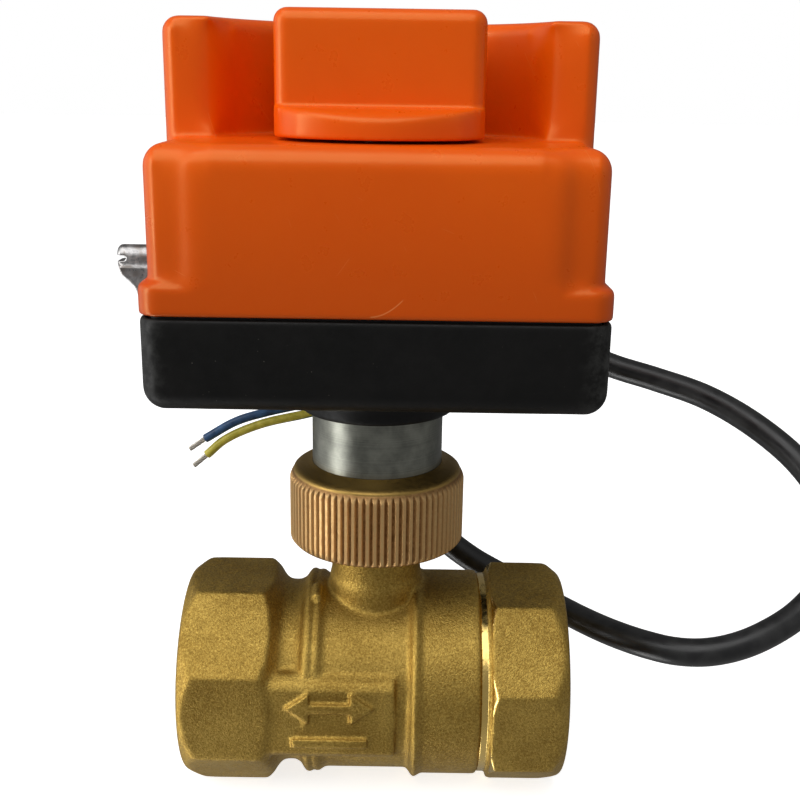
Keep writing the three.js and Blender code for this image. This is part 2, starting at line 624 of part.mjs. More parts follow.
function build_housing() {
  add('base', base(), 'black');
  add('cover', cover(), 'orange');
  add('cover_seal', cover_seal(), 'rubber');
  add('shaft_seal', o_ring(3.95, 0.55, 78), 'rubber');
  add('knob', knob(), 'orange');
  let number = 1;
  for (const y of POSTS_Y) {
    for (const side of [-1, 1]) {
      const one = screw(2.5, [48, 49.7], 1.2, 68);
      const recess = box([-1.9, 1.9], [-0.35, 0.35], [47.5, 48.7]);
      const cross = box([-0.35, 0.35], [-1.9, 1.9], [47.5, 48.7]);
      add(`cover_screw_${number}`, one.subtract(recess).subtract(cross).translate([side * POST_X, y, 0]), 'bright');
      number += 1;
    }
  }
  PILLARS.forEach(([x, y], i) => {
    const one = screw(1.6, [0, 1], 0.8, 9).rotate([180, 0, 0]).translate([x, y, PLATE_Z[1] + GAP + 1]);
    add(`plate_screw_${i + 1}`, one, 'bright');
  });
}

// ---------------------------------------------------------------- release lever

function build_lever() {
  const { y, z, r, tip, inner } = LEVER;
  const shaft = turned([
    [0, tip], [r - 0.9, tip], [r, tip + 0.9], [r, inner - 2.2], [1.2, inner - 2.2], [1.2, inner], [0, inner],
  ], 'x', 24);
  const slot = box([tip - 1, tip + 1.3], [-4, 4], [-0.35, 0.35]);
  const root = -31.2; // edge of the web beside the wall
  const tab = new THREE.Shape();
  tab.moveTo(root, 0);
  tab.lineTo(tip + 0.1, 0);
  tab.quadraticCurveTo(tip + 0.1, -1.9, tip + 0.6, -2.6);
  tab.lineTo(tip + 2.3, -4.1);
  tab.quadraticCurveTo(tip + 2.9, -5.6, root, -6.8);
  const web = extruded(tab, -1.1, 1.1, 3).rotate([90, 0, 0]);
  add('release_lever', shaft.add(web).subtract(slot).translate([0, y, z]), 'steel');

  const fork = new THREE.Shape();
  fork.absarc(0, 0, 2.7, 0, Math.PI, false);
  fork.lineTo(-1.5, -4);
  fork.lineTo(1.5, -4);
  const crank = extruded(fork, inner - 1.9, inner, 4).rotate([90, 0, 90]).subtract(rod(1.5, inner - 3, inner + 1, 'x', 16));
  add('release_crank', crank.translate([0, y, z]), 'acetal');
}

// ---------------------------------------------------------------- cable

// The cable leaves the back of the base, swings out past the cap end and comes back behind the union
const CABLE_ROUTE = [
  [8, 22.2, 53.6], [8, 31.5, 53.6], [9.8, 38.2, 52.8], [14.6, 43.6, 50.4], [21.8, 46.6, 47], [29.6, 46.4, 43.8],
  [36.4, 44.2, 41], [42.4, 41.6, 39], [49.3, 38.2, 37.6], [57.3, 33, 35.8], [64.5, 26, 32.6], [70.2, 19.5, 28.2],
  [73.3, 14.5, 23.3], [73.7, 10.5, 17.5], [71.4, 7, 12.1], [67, 4, 8.6], [61, 1.2, 6.1], [56, 0.1, 4.5],
  [51.4, 0, 3.6], [47.1, 1, 3.2], [42.9, 3.5, 3], [38.7, 7.5, 2.7], [34.9, 12.5, 2.3], [31, 17.3, 2.4],
  [26.4, 20.7, 3.5], [21.2, 22.2, 6], [15.9, 22.6, 9], [11.4, 22.6, 12.7], [7.8, 22.6, 17.8], [4.9, 22.8, 23],
  [2.4, 23.1, 28], [-0.6, 23.5, 32.4],
];

// Each core starts just past the end of the jacket and ends at its bare tip
const CORES = {
  blue: [[-0.2, 22.9, 33.4], [-4, 23.6, 36.5], [-8.6, 24.4, 37.2], [-13.7, 25, 35.6], [-19.4, 25, 34.2],
    [-24.6, 25, 32.5], [-30, 25, 29.3]],
  earth: [[-2.1, 22.9, 32.1], [-5, 23.3, 34.4], [-9.4, 23.6, 35], [-13.8, 24, 34], [-20.6, 24.6, 32.1],
    [-26.6, 25, 29.2], [-29.8, 25, 26.4]],
  brown: [[-1, 24.9, 32.8], [-4.4, 26.6, 36.6], [-9.4, 29, 39.3], [-15, 32.4, 41], [-20.6, 35.8, 41.8],
    [-25.6, 39.1, 41.6]],
};
const CORE_TIPS = {
  blue: [[-30.25, 25, 29.15], [-32.7, 25, 27.4]],
  earth: [[-30.05, 25, 26.15], [-32.1, 25, 24.4]],
  brown: [[-25.9, 39.3, 41.6], [-28.3, 40.8, 41.4]],
};

function build_cable() {
  const gland = turned([
    [GLAND.bore, 21.6], [GLAND.r, 21.6], [GLAND.r, 22.7], [2.95, 22.7], [2.95, 25.3], [GLAND.r, 25.3],
    [GLAND.r, 26.7], [3.6, 27], [3, 31.4], [GLAND.bore, 31.4],
  ], 'y', 24);
  add('cable_gland', gland.translate([GLAND.x, 0, GLAND.z]), 'rubber');
  add('cable', tube(CABLE_ROUTE, CABLE_R, 44), 'jacket');
  for (const [name, route] of Object.entries(CORES)) {
    add(`core_${name}`, tube(route, CORE_R, 14), name);
    add(`tip_${name}`, tube(CORE_TIPS[name], TIP_R, 1), 'copper');
  }
}

build_valve();
build_union();
build_gears();
build_switches();
build_housing();
build_lever();
build_cable();

export default valve;
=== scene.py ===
import math

import bmesh
import bpy
import numpy as np
from mathutils import Matrix, Vector


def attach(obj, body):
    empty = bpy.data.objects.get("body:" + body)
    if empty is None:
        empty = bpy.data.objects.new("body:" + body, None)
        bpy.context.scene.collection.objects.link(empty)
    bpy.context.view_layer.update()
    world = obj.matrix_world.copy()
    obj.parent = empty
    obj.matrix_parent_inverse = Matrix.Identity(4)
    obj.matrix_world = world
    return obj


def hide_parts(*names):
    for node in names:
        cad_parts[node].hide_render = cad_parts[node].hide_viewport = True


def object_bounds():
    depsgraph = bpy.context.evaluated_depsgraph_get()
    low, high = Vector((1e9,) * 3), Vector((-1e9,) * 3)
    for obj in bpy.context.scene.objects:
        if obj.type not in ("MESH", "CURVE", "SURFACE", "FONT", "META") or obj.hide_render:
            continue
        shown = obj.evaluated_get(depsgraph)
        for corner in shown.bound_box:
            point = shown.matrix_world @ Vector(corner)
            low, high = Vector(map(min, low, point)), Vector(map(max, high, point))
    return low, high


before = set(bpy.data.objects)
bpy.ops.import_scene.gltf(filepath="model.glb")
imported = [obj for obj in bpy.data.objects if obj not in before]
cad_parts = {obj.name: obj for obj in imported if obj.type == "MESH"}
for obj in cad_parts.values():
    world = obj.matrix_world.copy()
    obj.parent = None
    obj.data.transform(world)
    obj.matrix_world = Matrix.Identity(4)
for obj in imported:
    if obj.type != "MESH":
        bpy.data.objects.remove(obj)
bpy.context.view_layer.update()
scene = bpy.context.scene
MM = 0.001

# ---------- camera

CAMERA_AT = (0.00326, -0.1580, 0.0888)
PITCH_DOWN = 15.89  # degrees
ROLL = 0.87
LENS = 50.5

lens = bpy.data.cameras.new("camera")
lens.lens = LENS
lens.sensor_width = 36
lens.clip_start = 0.01
lens.clip_end = 50
camera = bpy.data.objects.new("camera", lens)
scene.collection.objects.link(camera)
scene.camera = camera
camera.matrix_world = (
    Matrix.Translation(CAMERA_AT)
    @ Matrix.Rotation(math.radians(90 - PITCH_DOWN), 4, "X")
    @ Matrix.Rotation(math.radians(ROLL), 4, "Z")
)
scene.view_settings.view_transform = "Standard"

# ---------- meshes


def new_object(name, vertices, faces):
    """A closed mesh object with its faces pointing out."""
    mesh = bpy.data.meshes.new(name)
    mesh.from_pydata([tuple(v) for v in vertices], [], [tuple(f) for f in faces])
    shape = bmesh.new()
    shape.from_mesh(mesh)
    bmesh.ops.recalc_face_normals(shape, faces=shape.faces)
    shape.to_mesh(mesh)
    shape.free()
    piece = bpy.data.objects.new(name, mesh)
    scene.collection.objects.link(piece)
    return piece


def ring_faces(rings, count, closed):
    """Quads between rings of count points, each ring following the one before."""
    faces = []
    for i in range(rings if closed else rings - 1):
        a = i * count
        b = ((i + 1) % rings) * count
        for j in range(count):
            k = (j + 1) % count
            faces.append((a + j, a + k, b + k, b + j))
    return faces


ACROSS = {
    "X": lambda a, b, h: (h, a, b),
    "Y": lambda a, b, h: (a, h, b),
    "Z": lambda a, b, h: (a, b, h),
}


def lathe(name, profile, axis="Z", segments=96, centre=(0, 0, 0)):
    """A turned solid from (radius, height) points; it closes on the axis or on itself."""
    on_axis = profile[0][0] == 0 and profile[-1][0] == 0
    middle = profile[1:-1] if on_axis else profile
    locate = ACROSS[axis]
    vertices = []
    for r, h in middle:
        for j in range(segments):
            angle = 2 * math.pi * j / segments
            vertices.append(Vector(locate(r * math.cos(angle), r * math.sin(angle), h)) + Vector(centre))
    faces = ring_faces(len(middle), segments, not on_axis)
    if on_axis:
        for h, first in ((profile[0][1], 0), (profile[-1][1], (len(middle) - 1) * segments)):
            vertices.append(Vector(locate(0, 0, h)) + Vector(centre))
            tip = len(vertices) - 1
            for j in range(segments):
                faces.append((first + j, first + (j + 1) % segments, tip))
    return new_object(name, vertices, faces)


def ring_solid(name, rings, axis="Z", start=0.0):
    """A ring-shaped solid from closed loops round an axis, each given as (radii, height)."""
    locate = ACROSS[axis]
    vertices = []
    for radii, h in rings:
        for j, r in enumerate(radii):
            angle = 2 * math.pi * (j + start) / len(radii)
            vertices.append(locate(r * math.cos(angle), r * math.sin(angle), h))
    return new_object(name, vertices, ring_faces(len(rings), len(rings[0][0]), True))


def rod(name, radius, low, high, axis="Z", centre=(0, 0, 0), segments=64):
    return lathe(name, [(0, low), (radius, low), (radius, high), (0, high)], axis, segments, centre)


def arc(centre, radius, start, end, steps=6):
    """Points of a fillet in a (radius, height) profile; angles in degrees."""
    points = []
    for i in range(steps + 1):
        angle = math.radians(start + (end - start) * i / steps)
        points.append((centre[0] + radius * math.cos(angle), centre[1] + radius * math.sin(angle)))
    return points


def outline(x, y, corner, steps):
    """A rounded rectangle as a loop of points."""
    points = []
    centres = [(x[1] - corner, y[1] - corner), (x[0] + corner, y[1] - corner)]
    centres += [(x[0] + corner, y[0] + corner), (x[1] - corner, y[0] + corner)]
    for turn, (cx, cy) in enumerate(centres):
        for i in range(steps + 1):
            angle = math.pi / 2 * (turn + i / steps)
            points.append((cx + corner * math.cos(angle), cy + corner * math.sin(angle)))
    return points


def soft_block(name, x, y, z, corner, bottom, top, steps=8):
    """A block with rounded upright corners and rolled lower and upper edges."""
    levels = []
    for i in range(steps + 1 if bottom else 1):
        angle = math.pi / 2 * i / steps
        levels.append((z[0] + bottom * (1 - math.cos(angle)), bottom * (1 - math.sin(angle))))
    for i in range(steps + 1 if top else 1):
        angle = math.pi / 2 * i / steps
        levels.append((z[1] - top * (1 - math.sin(angle)), top * (1 - math.cos(angle))))
    vertices = []
    for h, inset in levels:
        inner_x = (x[0] + inset, x[1] - inset)
        inner_y = (y[0] + inset, y[1] - inset)
        for px, py in outline(inner_x, inner_y, max(corner - inset, 0.25), steps):
            vertices.append((px, py, h))
    count = 4 * (steps + 1)
    faces = ring_faces(len(levels), count, False)
    faces.append(tuple(range(count)))
    faces.append(tuple(range(len(vertices) - count, len(vertices))))
    return new_object(name, vertices, faces)


def prism(name, points, low, high, axis="Z"):
    """A straight bar along an axis from a loop of points in the plane across it."""
    vertices = [ACROSS[axis](a, b, h) for h in (low, high) for a, b in points]
    count = len(points)
    faces = ring_faces(2, count, False)
    faces.append(tuple(range(count)))
    faces.append(tuple(range(count, 2 * count)))
    return new_object(name, vertices, faces)


def box(name, x, y, z):
    return prism(name, [(x[0], y[0]), (x[1], y[0]), (x[1], y[1]), (x[0], y[1])], *z)


def both(half):
    """A range with its middle at zero."""
    return (-half, half)


def bake(piece):
    """Applies the modifiers of a piece."""
    graph = bpy.context.evaluated_depsgraph_get()
    mesh = bpy.data.meshes.new_from_object(piece.evaluated_get(graph))
    piece.modifiers.clear()
    old = piece.data
    piece.data = mesh
    bpy.data.meshes.remove(old)


def remove(piece):
    mesh = piece.data
    bpy.data.objects.remove(piece)
    bpy.data.meshes.remove(mesh)


def combine(piece, *steps):
    """Joins, cuts or intersects a piece with others, each given as (operation, object)."""
    for operation, other in steps:
        modifier = piece.modifiers.new(operation, "BOOLEAN")
        modifier.operation = operation
        modifier.object = other
        modifier.solver = "MANIFOLD"
    bake(piece)
    for _, other in steps:
        remove(other)
    return piece


def join(*others):
    return [("UNION", other) for other in others]


def cut(*others):
    return [("DIFFERENCE", other) for other in others]


def soften(piece, voxel, passes, zones=()):
    """Remeshes a piece evenly and rolls its edges over. A zone is (test on x, y, z; more passes)."""
    remesh = piece.modifiers.new("remesh", "REMESH")
    remesh.mode = "VOXEL"
    remesh.voxel_size = voxel
    bake(piece)
    co = np.empty(len(piece.data.vertices) * 3)
    piece.data.vertices.foreach_get("co", co)
    x, y, z = co.reshape(-1, 3).T
    for number, (test, more) in enumerate(zones):
        group = piece.vertex_groups.new(name=f"zone{number}")
        group.add([int(i) for i in np.flatnonzero(test(x, y, z))], 1.0, "REPLACE")
        smooth = piece.modifiers.new(f"zone{number}", "SMOOTH")
        smooth.factor = 0.5
        smooth.iterations = more
        smooth.vertex_group = group.name
    smooth = piece.modifiers.new("smooth", "SMOOTH")
    smooth.factor = 0.5
    smooth.iterations = passes
    bake(piece)
    piece.vertex_groups.clear()
    return piece


def place(piece, body, material, nodes=(), sharp=None):
    """Scales a piece to metres, shades it, gives it its body and finish, and hides the CAD nodes that it
    stands for.
    """
    piece.data.transform(Matrix.Scale(MM, 4))
    piece.data.shade_smooth()
    if sharp is not None:
        piece.data.set_sharp_from_angle(angle=math.radians(sharp))
    piece.data.materials.clear()
    piece.data.materials.append(material)
    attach(piece, body)
    if nodes:
        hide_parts(*nodes)
    return piece


# ---------- materials


def colour(*srgb):
    """An sRGB colour as the linear values that Blender takes."""
    shares = [value / 255 for value in srgb]
    return (*(c / 12.92 if c <= 0.04045 else ((c + 0.055) / 1.055) ** 2.4 for c in shares), 1)


class Nodes:
    """Adds nodes to a shader tree; an input is a plain value or the output of another node."""

    def __init__(self, tree):
        self.tree = tree

    def node(self, kind, inputs=None, **settings):
        made = self.tree.nodes.new("ShaderNode" + kind)
        for key, value in settings.items():
            setattr(made, key, value)
        for key, value in (inputs or {}).items():
            if isinstance(value, bpy.types.NodeSocket):
                self.tree.links.new(value, made.inputs[key])
            else:
                made.inputs[key].default_value = value
        return made

    def vector(self, operation, *values, **named):
        made = self.node("VectorMath", {**dict(enumerate(values)), **named}, operation=operation)
        return made.outputs["Value" if operation in ("LENGTH", "DOT_PRODUCT", "DISTANCE") else "Vector"]

    def math(self, operation, *values):
        return self.node("Math", dict(enumerate(values)), operation=operation).outputs[0]

    def times(self, a, b):
        return self.math("MULTIPLY", a, b)

    def plus(self, a, b):
        return self.math("ADD", a, b)

    def largest(self, first, *others):
        for other in others:
            first = self.math("MAXIMUM", first, other)
        return first

    def band(self, value, low, high, start=0.0, end=1.0):
        """Value taken smoothly from one range to another."""
        inputs = {"Value": value, "From Min": low, "From Max": high, "To Min": start, "To Max": end}
        return self.node("MapRange", inputs, interpolation_type="SMOOTHSTEP").outputs["Result"]

    def mix(self, factor, a, b):
        """A mix of two colours."""
        return self.node("Mix", {0: factor, 6: a, 7: b}, data_type="RGBA").outputs[2]


class Finish(Nodes):
    """A procedural material in the making: one Principled shader and the nodes that feed it."""

    def __init__(self, name, **constants):
        self.material = bpy.data.materials.new(name)
        self.material.use_nodes = True
        super().__init__(self.material.node_tree)
        self.tree.nodes.clear()
        self.shader = self.node("BsdfPrincipled")
        self.node("OutputMaterial", {"Surface": self.shader.outputs[0]})
        for key, value in constants.items():
            self.shader.inputs[key.replace("_", " ")].default_value = value
        where = self.node("TexCoord").outputs["Object"]
        self.mm = self.vector("SCALE", where, Scale=1000)

    def axis(self, letter):
        return self.node("SeparateXYZ", {0: self.mm}).outputs[letter]

    def stretched(self, x, y, z):
        return self.vector("MULTIPLY", self.mm, (x, y, z))

    def shifted(self, x, y, z):
        return self.vector("ADD", self.mm, (x, y, z))

    def radius(self, axis):
        """Distance from the axis with this letter."""
        return self.vector("LENGTH", self.stretched(*(0 if axis == letter else 1 for letter in "XYZ")))

    def noise(self, scale, detail=3, roughness=0.55, vector=None):
        inputs = {"Vector": vector or self.mm, "Scale": scale, "Detail": detail, "Roughness": roughness}
        return self.node("TexNoise", inputs).outputs["Fac"]

    def cells(self, scale, feature="F1"):
        inputs = {"Vector": self.mm, "Scale": scale}
        return self.node("TexVoronoi", inputs, feature=feature).outputs["Distance"]

    def set(self, name, socket):
        self.tree.links.new(socket, self.shader.inputs[name])

    def bump(self, height, depth_mm, strength=1.0):
        made = self.node("Bump", {"Strength": strength, "Distance": depth_mm * MM, "Height": height})
        if self.shader.inputs["Normal"].is_linked:
            self.tree.links.new(self.shader.inputs["Normal"].links[0].from_socket, made.inputs["Normal"])
        self.set("Normal", made.outputs[0])


def cast_brass(name, machined):
    """Sand-blasted cast brass, with bright turned faces where the test machined says so."""
    f = Finish(name, Metallic=1.0)
    turned = machined(f)
    cast = f.math("SUBTRACT", 1.0, turned)
    grain = f.noise(3.2, 4, 0.75)
    blotch = f.noise(0.12, 3, 0.5)
    tone = f.plus(f.times(grain, 0.75), f.times(blotch, 0.25))
    cast_colour = f.mix(f.band(tone, 0.36, 0.66), colour(146, 116, 52), colour(199, 167, 86))
    f.set("Base Color", f.mix(turned, cast_colour, colour(226, 194, 116)))
    rough = f.band(f.noise(1.1, 3), 0.3, 0.7, 0.44, 0.58)
    f.set("Roughness", f.math("MULTIPLY_ADD", turned, -0.28, rough))
    pits = f.plus(f.times(f.noise(4.6, 2, 0.6), 0.8), f.times(f.noise(1.6, 2), 0.25))
    f.bump(f.times(pits, cast), 0.18, 0.7)
    outward = f.node("CombineXYZ", {0: f.times(f.radius("X"), 7)}).outputs[0]
    grooves = f.noise(1, 1, vector=outward)
    f.bump(f.times(grooves, turned), 0.02, 0.5)
    return f.material


def body_machined(f):
    """End face of the inlet, and the waterway."""
    x = f.axis("X")
    radius = f.radius("X")
    face = f.band(x, -END + 0.05, -END + 0.15, 1, 0)
    socket = f.times(f.band(radius, 13.5, 13.6, 1, 0), f.band(x, -15.3, -15.2, 1, 0))
    waterway = f.band(radius, 12.8, 12.9, 1, 0)
    return f.largest(face, socket, waterway)


def cap_machined(f):
    """Turned ring behind the cap's octagon, its end face and the waterway."""
    x = f.axis("X")
    radius = f.radius("X")
    slope = 0.72  # mm along the axis per mm of radius, from the ring's outer edge at radius 16
    chamfer = f.math("MULTIPLY_ADD", radius, -slope, x)
    start = CAP_OCTAGON - slope * 16
    ring = f.band(chamfer, start + 0.08, start + 0.18, 1, 0)
    face = f.band(x, END - 0.15, END - 0.05)
    bore = f.band(radius, 13.5, 13.6, 1, 0)
    return f.largest(ring, face, bore)


def turned_metal(name, dark, light, roughness, axis="Z", spacing=0.12, depth=0.012, spots=0.0):
    """Metal with the fine circular marks of a lathe."""
    f = Finish(name, Metallic=1.0)
    ways = {0: f.math("DIVIDE", f.axis(axis), spacing), 1: f.math("DIVIDE", f.radius(axis), spacing)}
    marks = f.noise(0.5, 3, 0.7, vector=f.node("CombineXYZ", ways).outputs[0])
    cloud = f.noise(0.35, 4, 0.6)
    tone = f.plus(f.times(marks, 0.4), f.times(cloud, 0.6))
    f.set("Base Color", f.mix(f.band(tone, 0.3, 0.7), dark, light))
    spotted = f.plus(marks, f.times(cloud, spots))
    f.set("Roughness", f.band(spotted, 0.3, 0.8, roughness - 0.07, roughness + 0.1))
    f.bump(marks, depth, 0.6)
    return f.material


def moulded(name, dark, light, roughness, grain_mm=0.3, grain_depth=0.01, dust=0.0, **constants):
    """Injection-moulded plastic: a slight unevenness, a fine grain and, where asked, specks of dust."""
    f = Finish(name, **constants)
    cloud = f.noise(0.05, 3, 0.5)
    fine = f.noise(1 / grain_mm, 2, 0.5)
    base = f.mix(f.band(cloud, 0.3, 0.7), dark, light)
    if dust:
        specks = f.band(f.cells(0.9), 0.02, 0.07, dust, 0)
        lone = f.band(f.noise(0.4, 2), 0.5, 0.62)
        base = f.mix(f.times(specks, lone), base, colour(150, 145, 138))
    f.set("Base Color", base)
    f.set("Roughness", f.band(f.noise(0.5, 4, 0.65), 0.3, 0.7, roughness - 0.04, roughness + 0.06))
    f.bump(fine, grain_depth, 0.5)
    return f.material


def milky(name, dark, light, roughness, grain_mm, grain_depth):
    """A moulding that lets a little light in."""
    inside = {"Subsurface_Weight": 0.1, "Subsurface_Scale": 0.001}
    return moulded(name, dark, light, roughness, grain_mm, grain_depth, **inside)


# ---------- cable and cores

CABLE_D = 4.4
CORE_D = 1.5
STRAND_D = 0.3
GLAND_X = 8
GLAND_Z = 53.6
GLAND_MOUTH = 31.4
CABLE_ROUTE = [
    (8, 22.2, 53.6), (8, 31.5, 53.6), (9.8, 38.2, 52.8), (14.6, 43.6, 50.4), (21.8, 46.6, 47),
    (29.6, 46.4, 43.8), (36.4, 44.2, 41), (42.4, 41.6, 39), (49.3, 38.2, 37.6), (57.3, 33, 35.8),
    (64.5, 26, 32.6), (70.2, 19.5, 28.2), (73.3, 14.5, 23.3), (73.7, 10.5, 17.5), (71.4, 7, 12.1),
    (67, 4, 8.6), (61, 1.2, 6.1), (56, 0.1, 4.5), (51.4, 0, 3.6), (47.1, 1, 3.2), (42.9, 3.5, 3),
    (38.7, 7.5, 2.7), (34.9, 12.5, 2.3), (31, 17.3, 2.4), (26.4, 20.7, 3.5), (21.2, 22.2, 6),
    (15.9, 22.6, 9), (11.4, 22.6, 12.7), (7.8, 22.6, 17.8), (4.9, 22.8, 23), (2.4, 23.1, 28),
    (-0.6, 23.5, 32.4),
]
CORES = {
    "blue": [(-0.2, 22.9, 33.4), (-4, 23.6, 36.5), (-8.6, 24.4, 37.2), (-13.7, 25, 35.6),
             (-19.4, 25, 34.2), (-24.6, 25, 32.5), (-30, 25, 29.3)],
    "earth": [(-2.1, 22.9, 32.1), (-5, 23.3, 34.4), (-9.4, 23.6, 35), (-13.8, 24, 34),
              (-20.6, 24.6, 32.1), (-26.6, 25, 29.2), (-29.8, 25, 26.4)],
    "brown": [(-1, 24.9, 32.8), (-4.4, 26.6, 36.6), (-9.4, 29, 39.3), (-15, 32.4, 41),
              (-20.6, 35.8, 41.8), (-25.6, 39.1, 41.6)],
}
CORE_TIPS = {
    "blue": [(-30.25, 25, 29.15), (-32.7, 25, 27.4)],
    "earth": [(-30.05, 25, 26.15), (-32.1, 25, 24.4)],
    "brown": [(-25.9, 39.3, 41.6), (-28.3, 40.8, 41.4)],
}


def smooth_line(points, per_span):
    """Points along the centripetal Catmull-Rom line that the CAD's tubes follow."""
    p = [Vector(q) for q in points]
    p = [2 * p[0] - p[1], *p, 2 * p[-1] - p[-2]]
    line = []
    for a, b, c, d in zip(p, p[1:], p[2:], p[3:]):
        before, here, after = ((v - u).length ** 0.5 for u, v in ((a, b), (b, c), (c, d)))
        leave = ((b - a) / before - (c - a) / (before + here) + (c - b) / here) * here
        reach = ((c - b) / here - (d - b) / (here + after) + (d - c) / after) * here
        square = 3 * (c - b) - 2 * leave - reach
        cube = 2 * (b - c) + leave + reach
        for k in range(per_span):
            u = k / per_span
            line.append(b + leave * u + square * u**2 + cube * u**3)
    line.append(p[-2])
    return line


def tube(name, line, radius, sides=20, turns_per_mm=0.0, offset=0.0, phase=0.0, blunt=0.12):
    """A round tube along a line, with rounded ends; offset and turns make a twisted strand."""
    rings = []
    frame_x = None
    length = 0.0
    uv_along = []
    count = len(line)
    for i, point in enumerate(line):
        along = (line[min(i + 1, count - 1)] - line[max(i - 1, 0)]).normalized()
        if i:
            length += (point - line[i - 1]).length
        if frame_x is None:
            frame_x = along.orthogonal().normalized()
        frame_x = (frame_x - along * frame_x.dot(along)).normalized()
        frame_y = along.cross(frame_x)
        spin = phase + 2 * math.pi * turns_per_mm * length
        centre = point + (frame_x * math.cos(spin) + frame_y * math.sin(spin)) * offset
        ends = [(radius, 0.0)]
        if i == 0:
            ends = [(radius - blunt, 0.0), (radius - blunt * 0.3, blunt * 0.3), (radius, blunt)]
        if i == count - 1:
            ends = [(radius, -blunt), (radius - blunt * 0.3, -blunt * 0.3), (radius - blunt, 0.0)]
        for r, shift in ends:
            rings.append([
                centre + along * shift + (frame_x * math.cos(t) + frame_y * math.sin(t)) * r
                for t in (2 * math.pi * j / sides for j in range(sides))
            ])
            uv_along.append(length + shift)
    vertices = [v for ring in rings for v in ring]
    faces = ring_faces(len(rings), sides, False)
    faces.append(tuple(range(sides)))
    faces.append(tuple(range(len(vertices) - sides, len(vertices))))
    piece = new_object(name, vertices, faces)
    layer = piece.data.uv_layers.new(name="along")
    for polygon in piece.data.polygons:
        sided = [piece.data.loops[k].vertex_index for k in polygon.loop_indices]
        wraps = len(sided) == 4 and max(v % sides for v in sided) - min(v % sides for v in sided) > 1
        for k, v in zip(polygon.loop_indices, sided):
            around = v % sides
            if wraps and around == 0:
                around = sides
            layer.data[k].uv = (around / sides, uv_along[v // sides])
    return piece


def jacket_finish():
    """Black PVC jacket: satin, faintly uneven, with fine rubbed lines along it."""
    f = Finish("jacket")
    uv = f.node("TexCoord").outputs["UV"]
    lines = f.noise(1, 3, 0.6, vector=f.vector("MULTIPLY", uv, (60, 0.25, 0)))
    cloud = f.noise(0.35, 3)
    f.set("Base Color", f.mix(f.band(cloud, 0.35, 0.7), colour(20, 20, 21), colour(38, 38, 38)))
    worn = f.plus(f.times(lines, 0.5), f.times(cloud, 0.5))
    f.set("Roughness", f.band(worn, 0.3, 0.7, 0.3, 0.46))
    f.bump(f.noise(1.1, 3), 0.03, 0.5)
    f.bump(lines, 0.012, 0.4)
    return f.material


def core_finish(name, dark, light, stripe=None):
    """PVC insulation of one core; the earth core carries a second colour in a slow spiral."""
    f = Finish(name)
    cloud = f.noise(0.8, 3)
    base = f.mix(f.band(cloud, 0.3, 0.7), dark, light)
    if stripe:
        uv = f.node("SeparateXYZ", {0: f.node("TexCoord").outputs["UV"]})
        turn = f.plus(uv.outputs["X"], f.times(uv.outputs["Y"], 0.012))
        side = f.math("ABSOLUTE", f.math("SUBTRACT", f.math("FRACT", turn), 0.5))
        base = f.mix(f.band(side, 0.3, 0.33), base, stripe)
    f.set("Base Color", base)
    f.set("Roughness", f.band(cloud, 0.3, 0.7, 0.36, 0.5))
    f.bump(f.noise(3, 2), 0.01, 0.4)
    return f.material


def strand_finish():
    """Tinned copper strands."""
    f = Finish("tinned_strands", Metallic=1.0)
    grain = f.noise(4, 3)
    f.set("Base Color", f.mix(grain, colour(150, 142, 130), colour(205, 200, 190)))
    f.set("Roughness", f.band(grain, 0.3, 0.7, 0.3, 0.5))
    f.bump(grain, 0.01, 0.4)
    return f.material


JACKET = jacket_finish()
STRANDS = strand_finish()
CORE_FINISHES = {
    "blue": core_finish("core_blue", colour(24, 56, 92), colour(46, 86, 128)),
    "earth": core_finish("core_earth", colour(176, 164, 46), colour(204, 190, 70), colour(72, 104, 44)),
    "brown": core_finish("core_brown", colour(66, 40, 24), colour(96, 60, 36)),
}


cable_line = smooth_line(CABLE_ROUTE, 10)
cable = place(tube("supply_cable", cable_line, CABLE_D / 2, 32), "valve", JACKET, ["cable"], 50)

for core, route in CORES.items():
    line = smooth_line(route, 10)
    piece = place(
        tube(f"{core}_core", line, CORE_D / 2, 18, blunt=0.08),
        "valve", CORE_FINISHES[core], [f"core_{core}"], 50,
    )
    start, end = (Vector(p) for p in CORE_TIPS[core])
    reach = [start + (end - start) * (i / 8 if i else -0.12) for i in range(9)]
    strands = tube(f"{core}_strands", reach, STRAND_D / 2, 8, blunt=0.03)
    for k in range(6):
        strand = tube("strand", reach, STRAND_D / 2, 8, 0.16, 0.295, k * math.pi / 3, 0.03)
        merged = bmesh.new()
        merged.from_mesh(strands.data)
        merged.from_mesh(strand.data)
        merged.to_mesh(strands.data)
        merged.free()
        remove(strand)
    place(strands, "valve", STRANDS, [f"tip_{core}"])


# ---------- valve body and cap

FLATS = 31.4  # across the flats of both octagons
CORNER_R = 17.1
FACE_R = 15.1  # where the chamfer meets an end face
END = 28.5
SOCKET_R = 12.1
SOCKET_FLOOR = 16.1
THREAD_ROOT = 13.2
THREAD_PITCH = 1.814
BALL_R = 11.5
PORT_R = 7.5
PASSAGE_R = 8
CAP_TILT = 6.9  # degrees that the cap's octagon stands off the body's
OCTAGON_IN = 15  # inner end of the body's octagon
CAP_OCTAGON = 17.2  # inner end of the cap's octagon
NECK_R = 15.1
BARREL_R = 15.5
STEP_X = 6.1
RIM_X = 15.4
SEAL_SEAT = 14.2
SEAT_POCKET = 12.3
SEAT_R = 10.9
BOSS_R = 7


def octagon(name, low, high, tilt=0.0):
    corner = FLATS / 2 / math.cos(math.pi / 8)
    start = math.pi / 8 + math.radians(tilt)
    angles = [start + i * math.pi / 4 for i in range(8)]
    return prism(name, [(corner * math.cos(t), corner * math.sin(t)) for t in angles], low, high, "X")


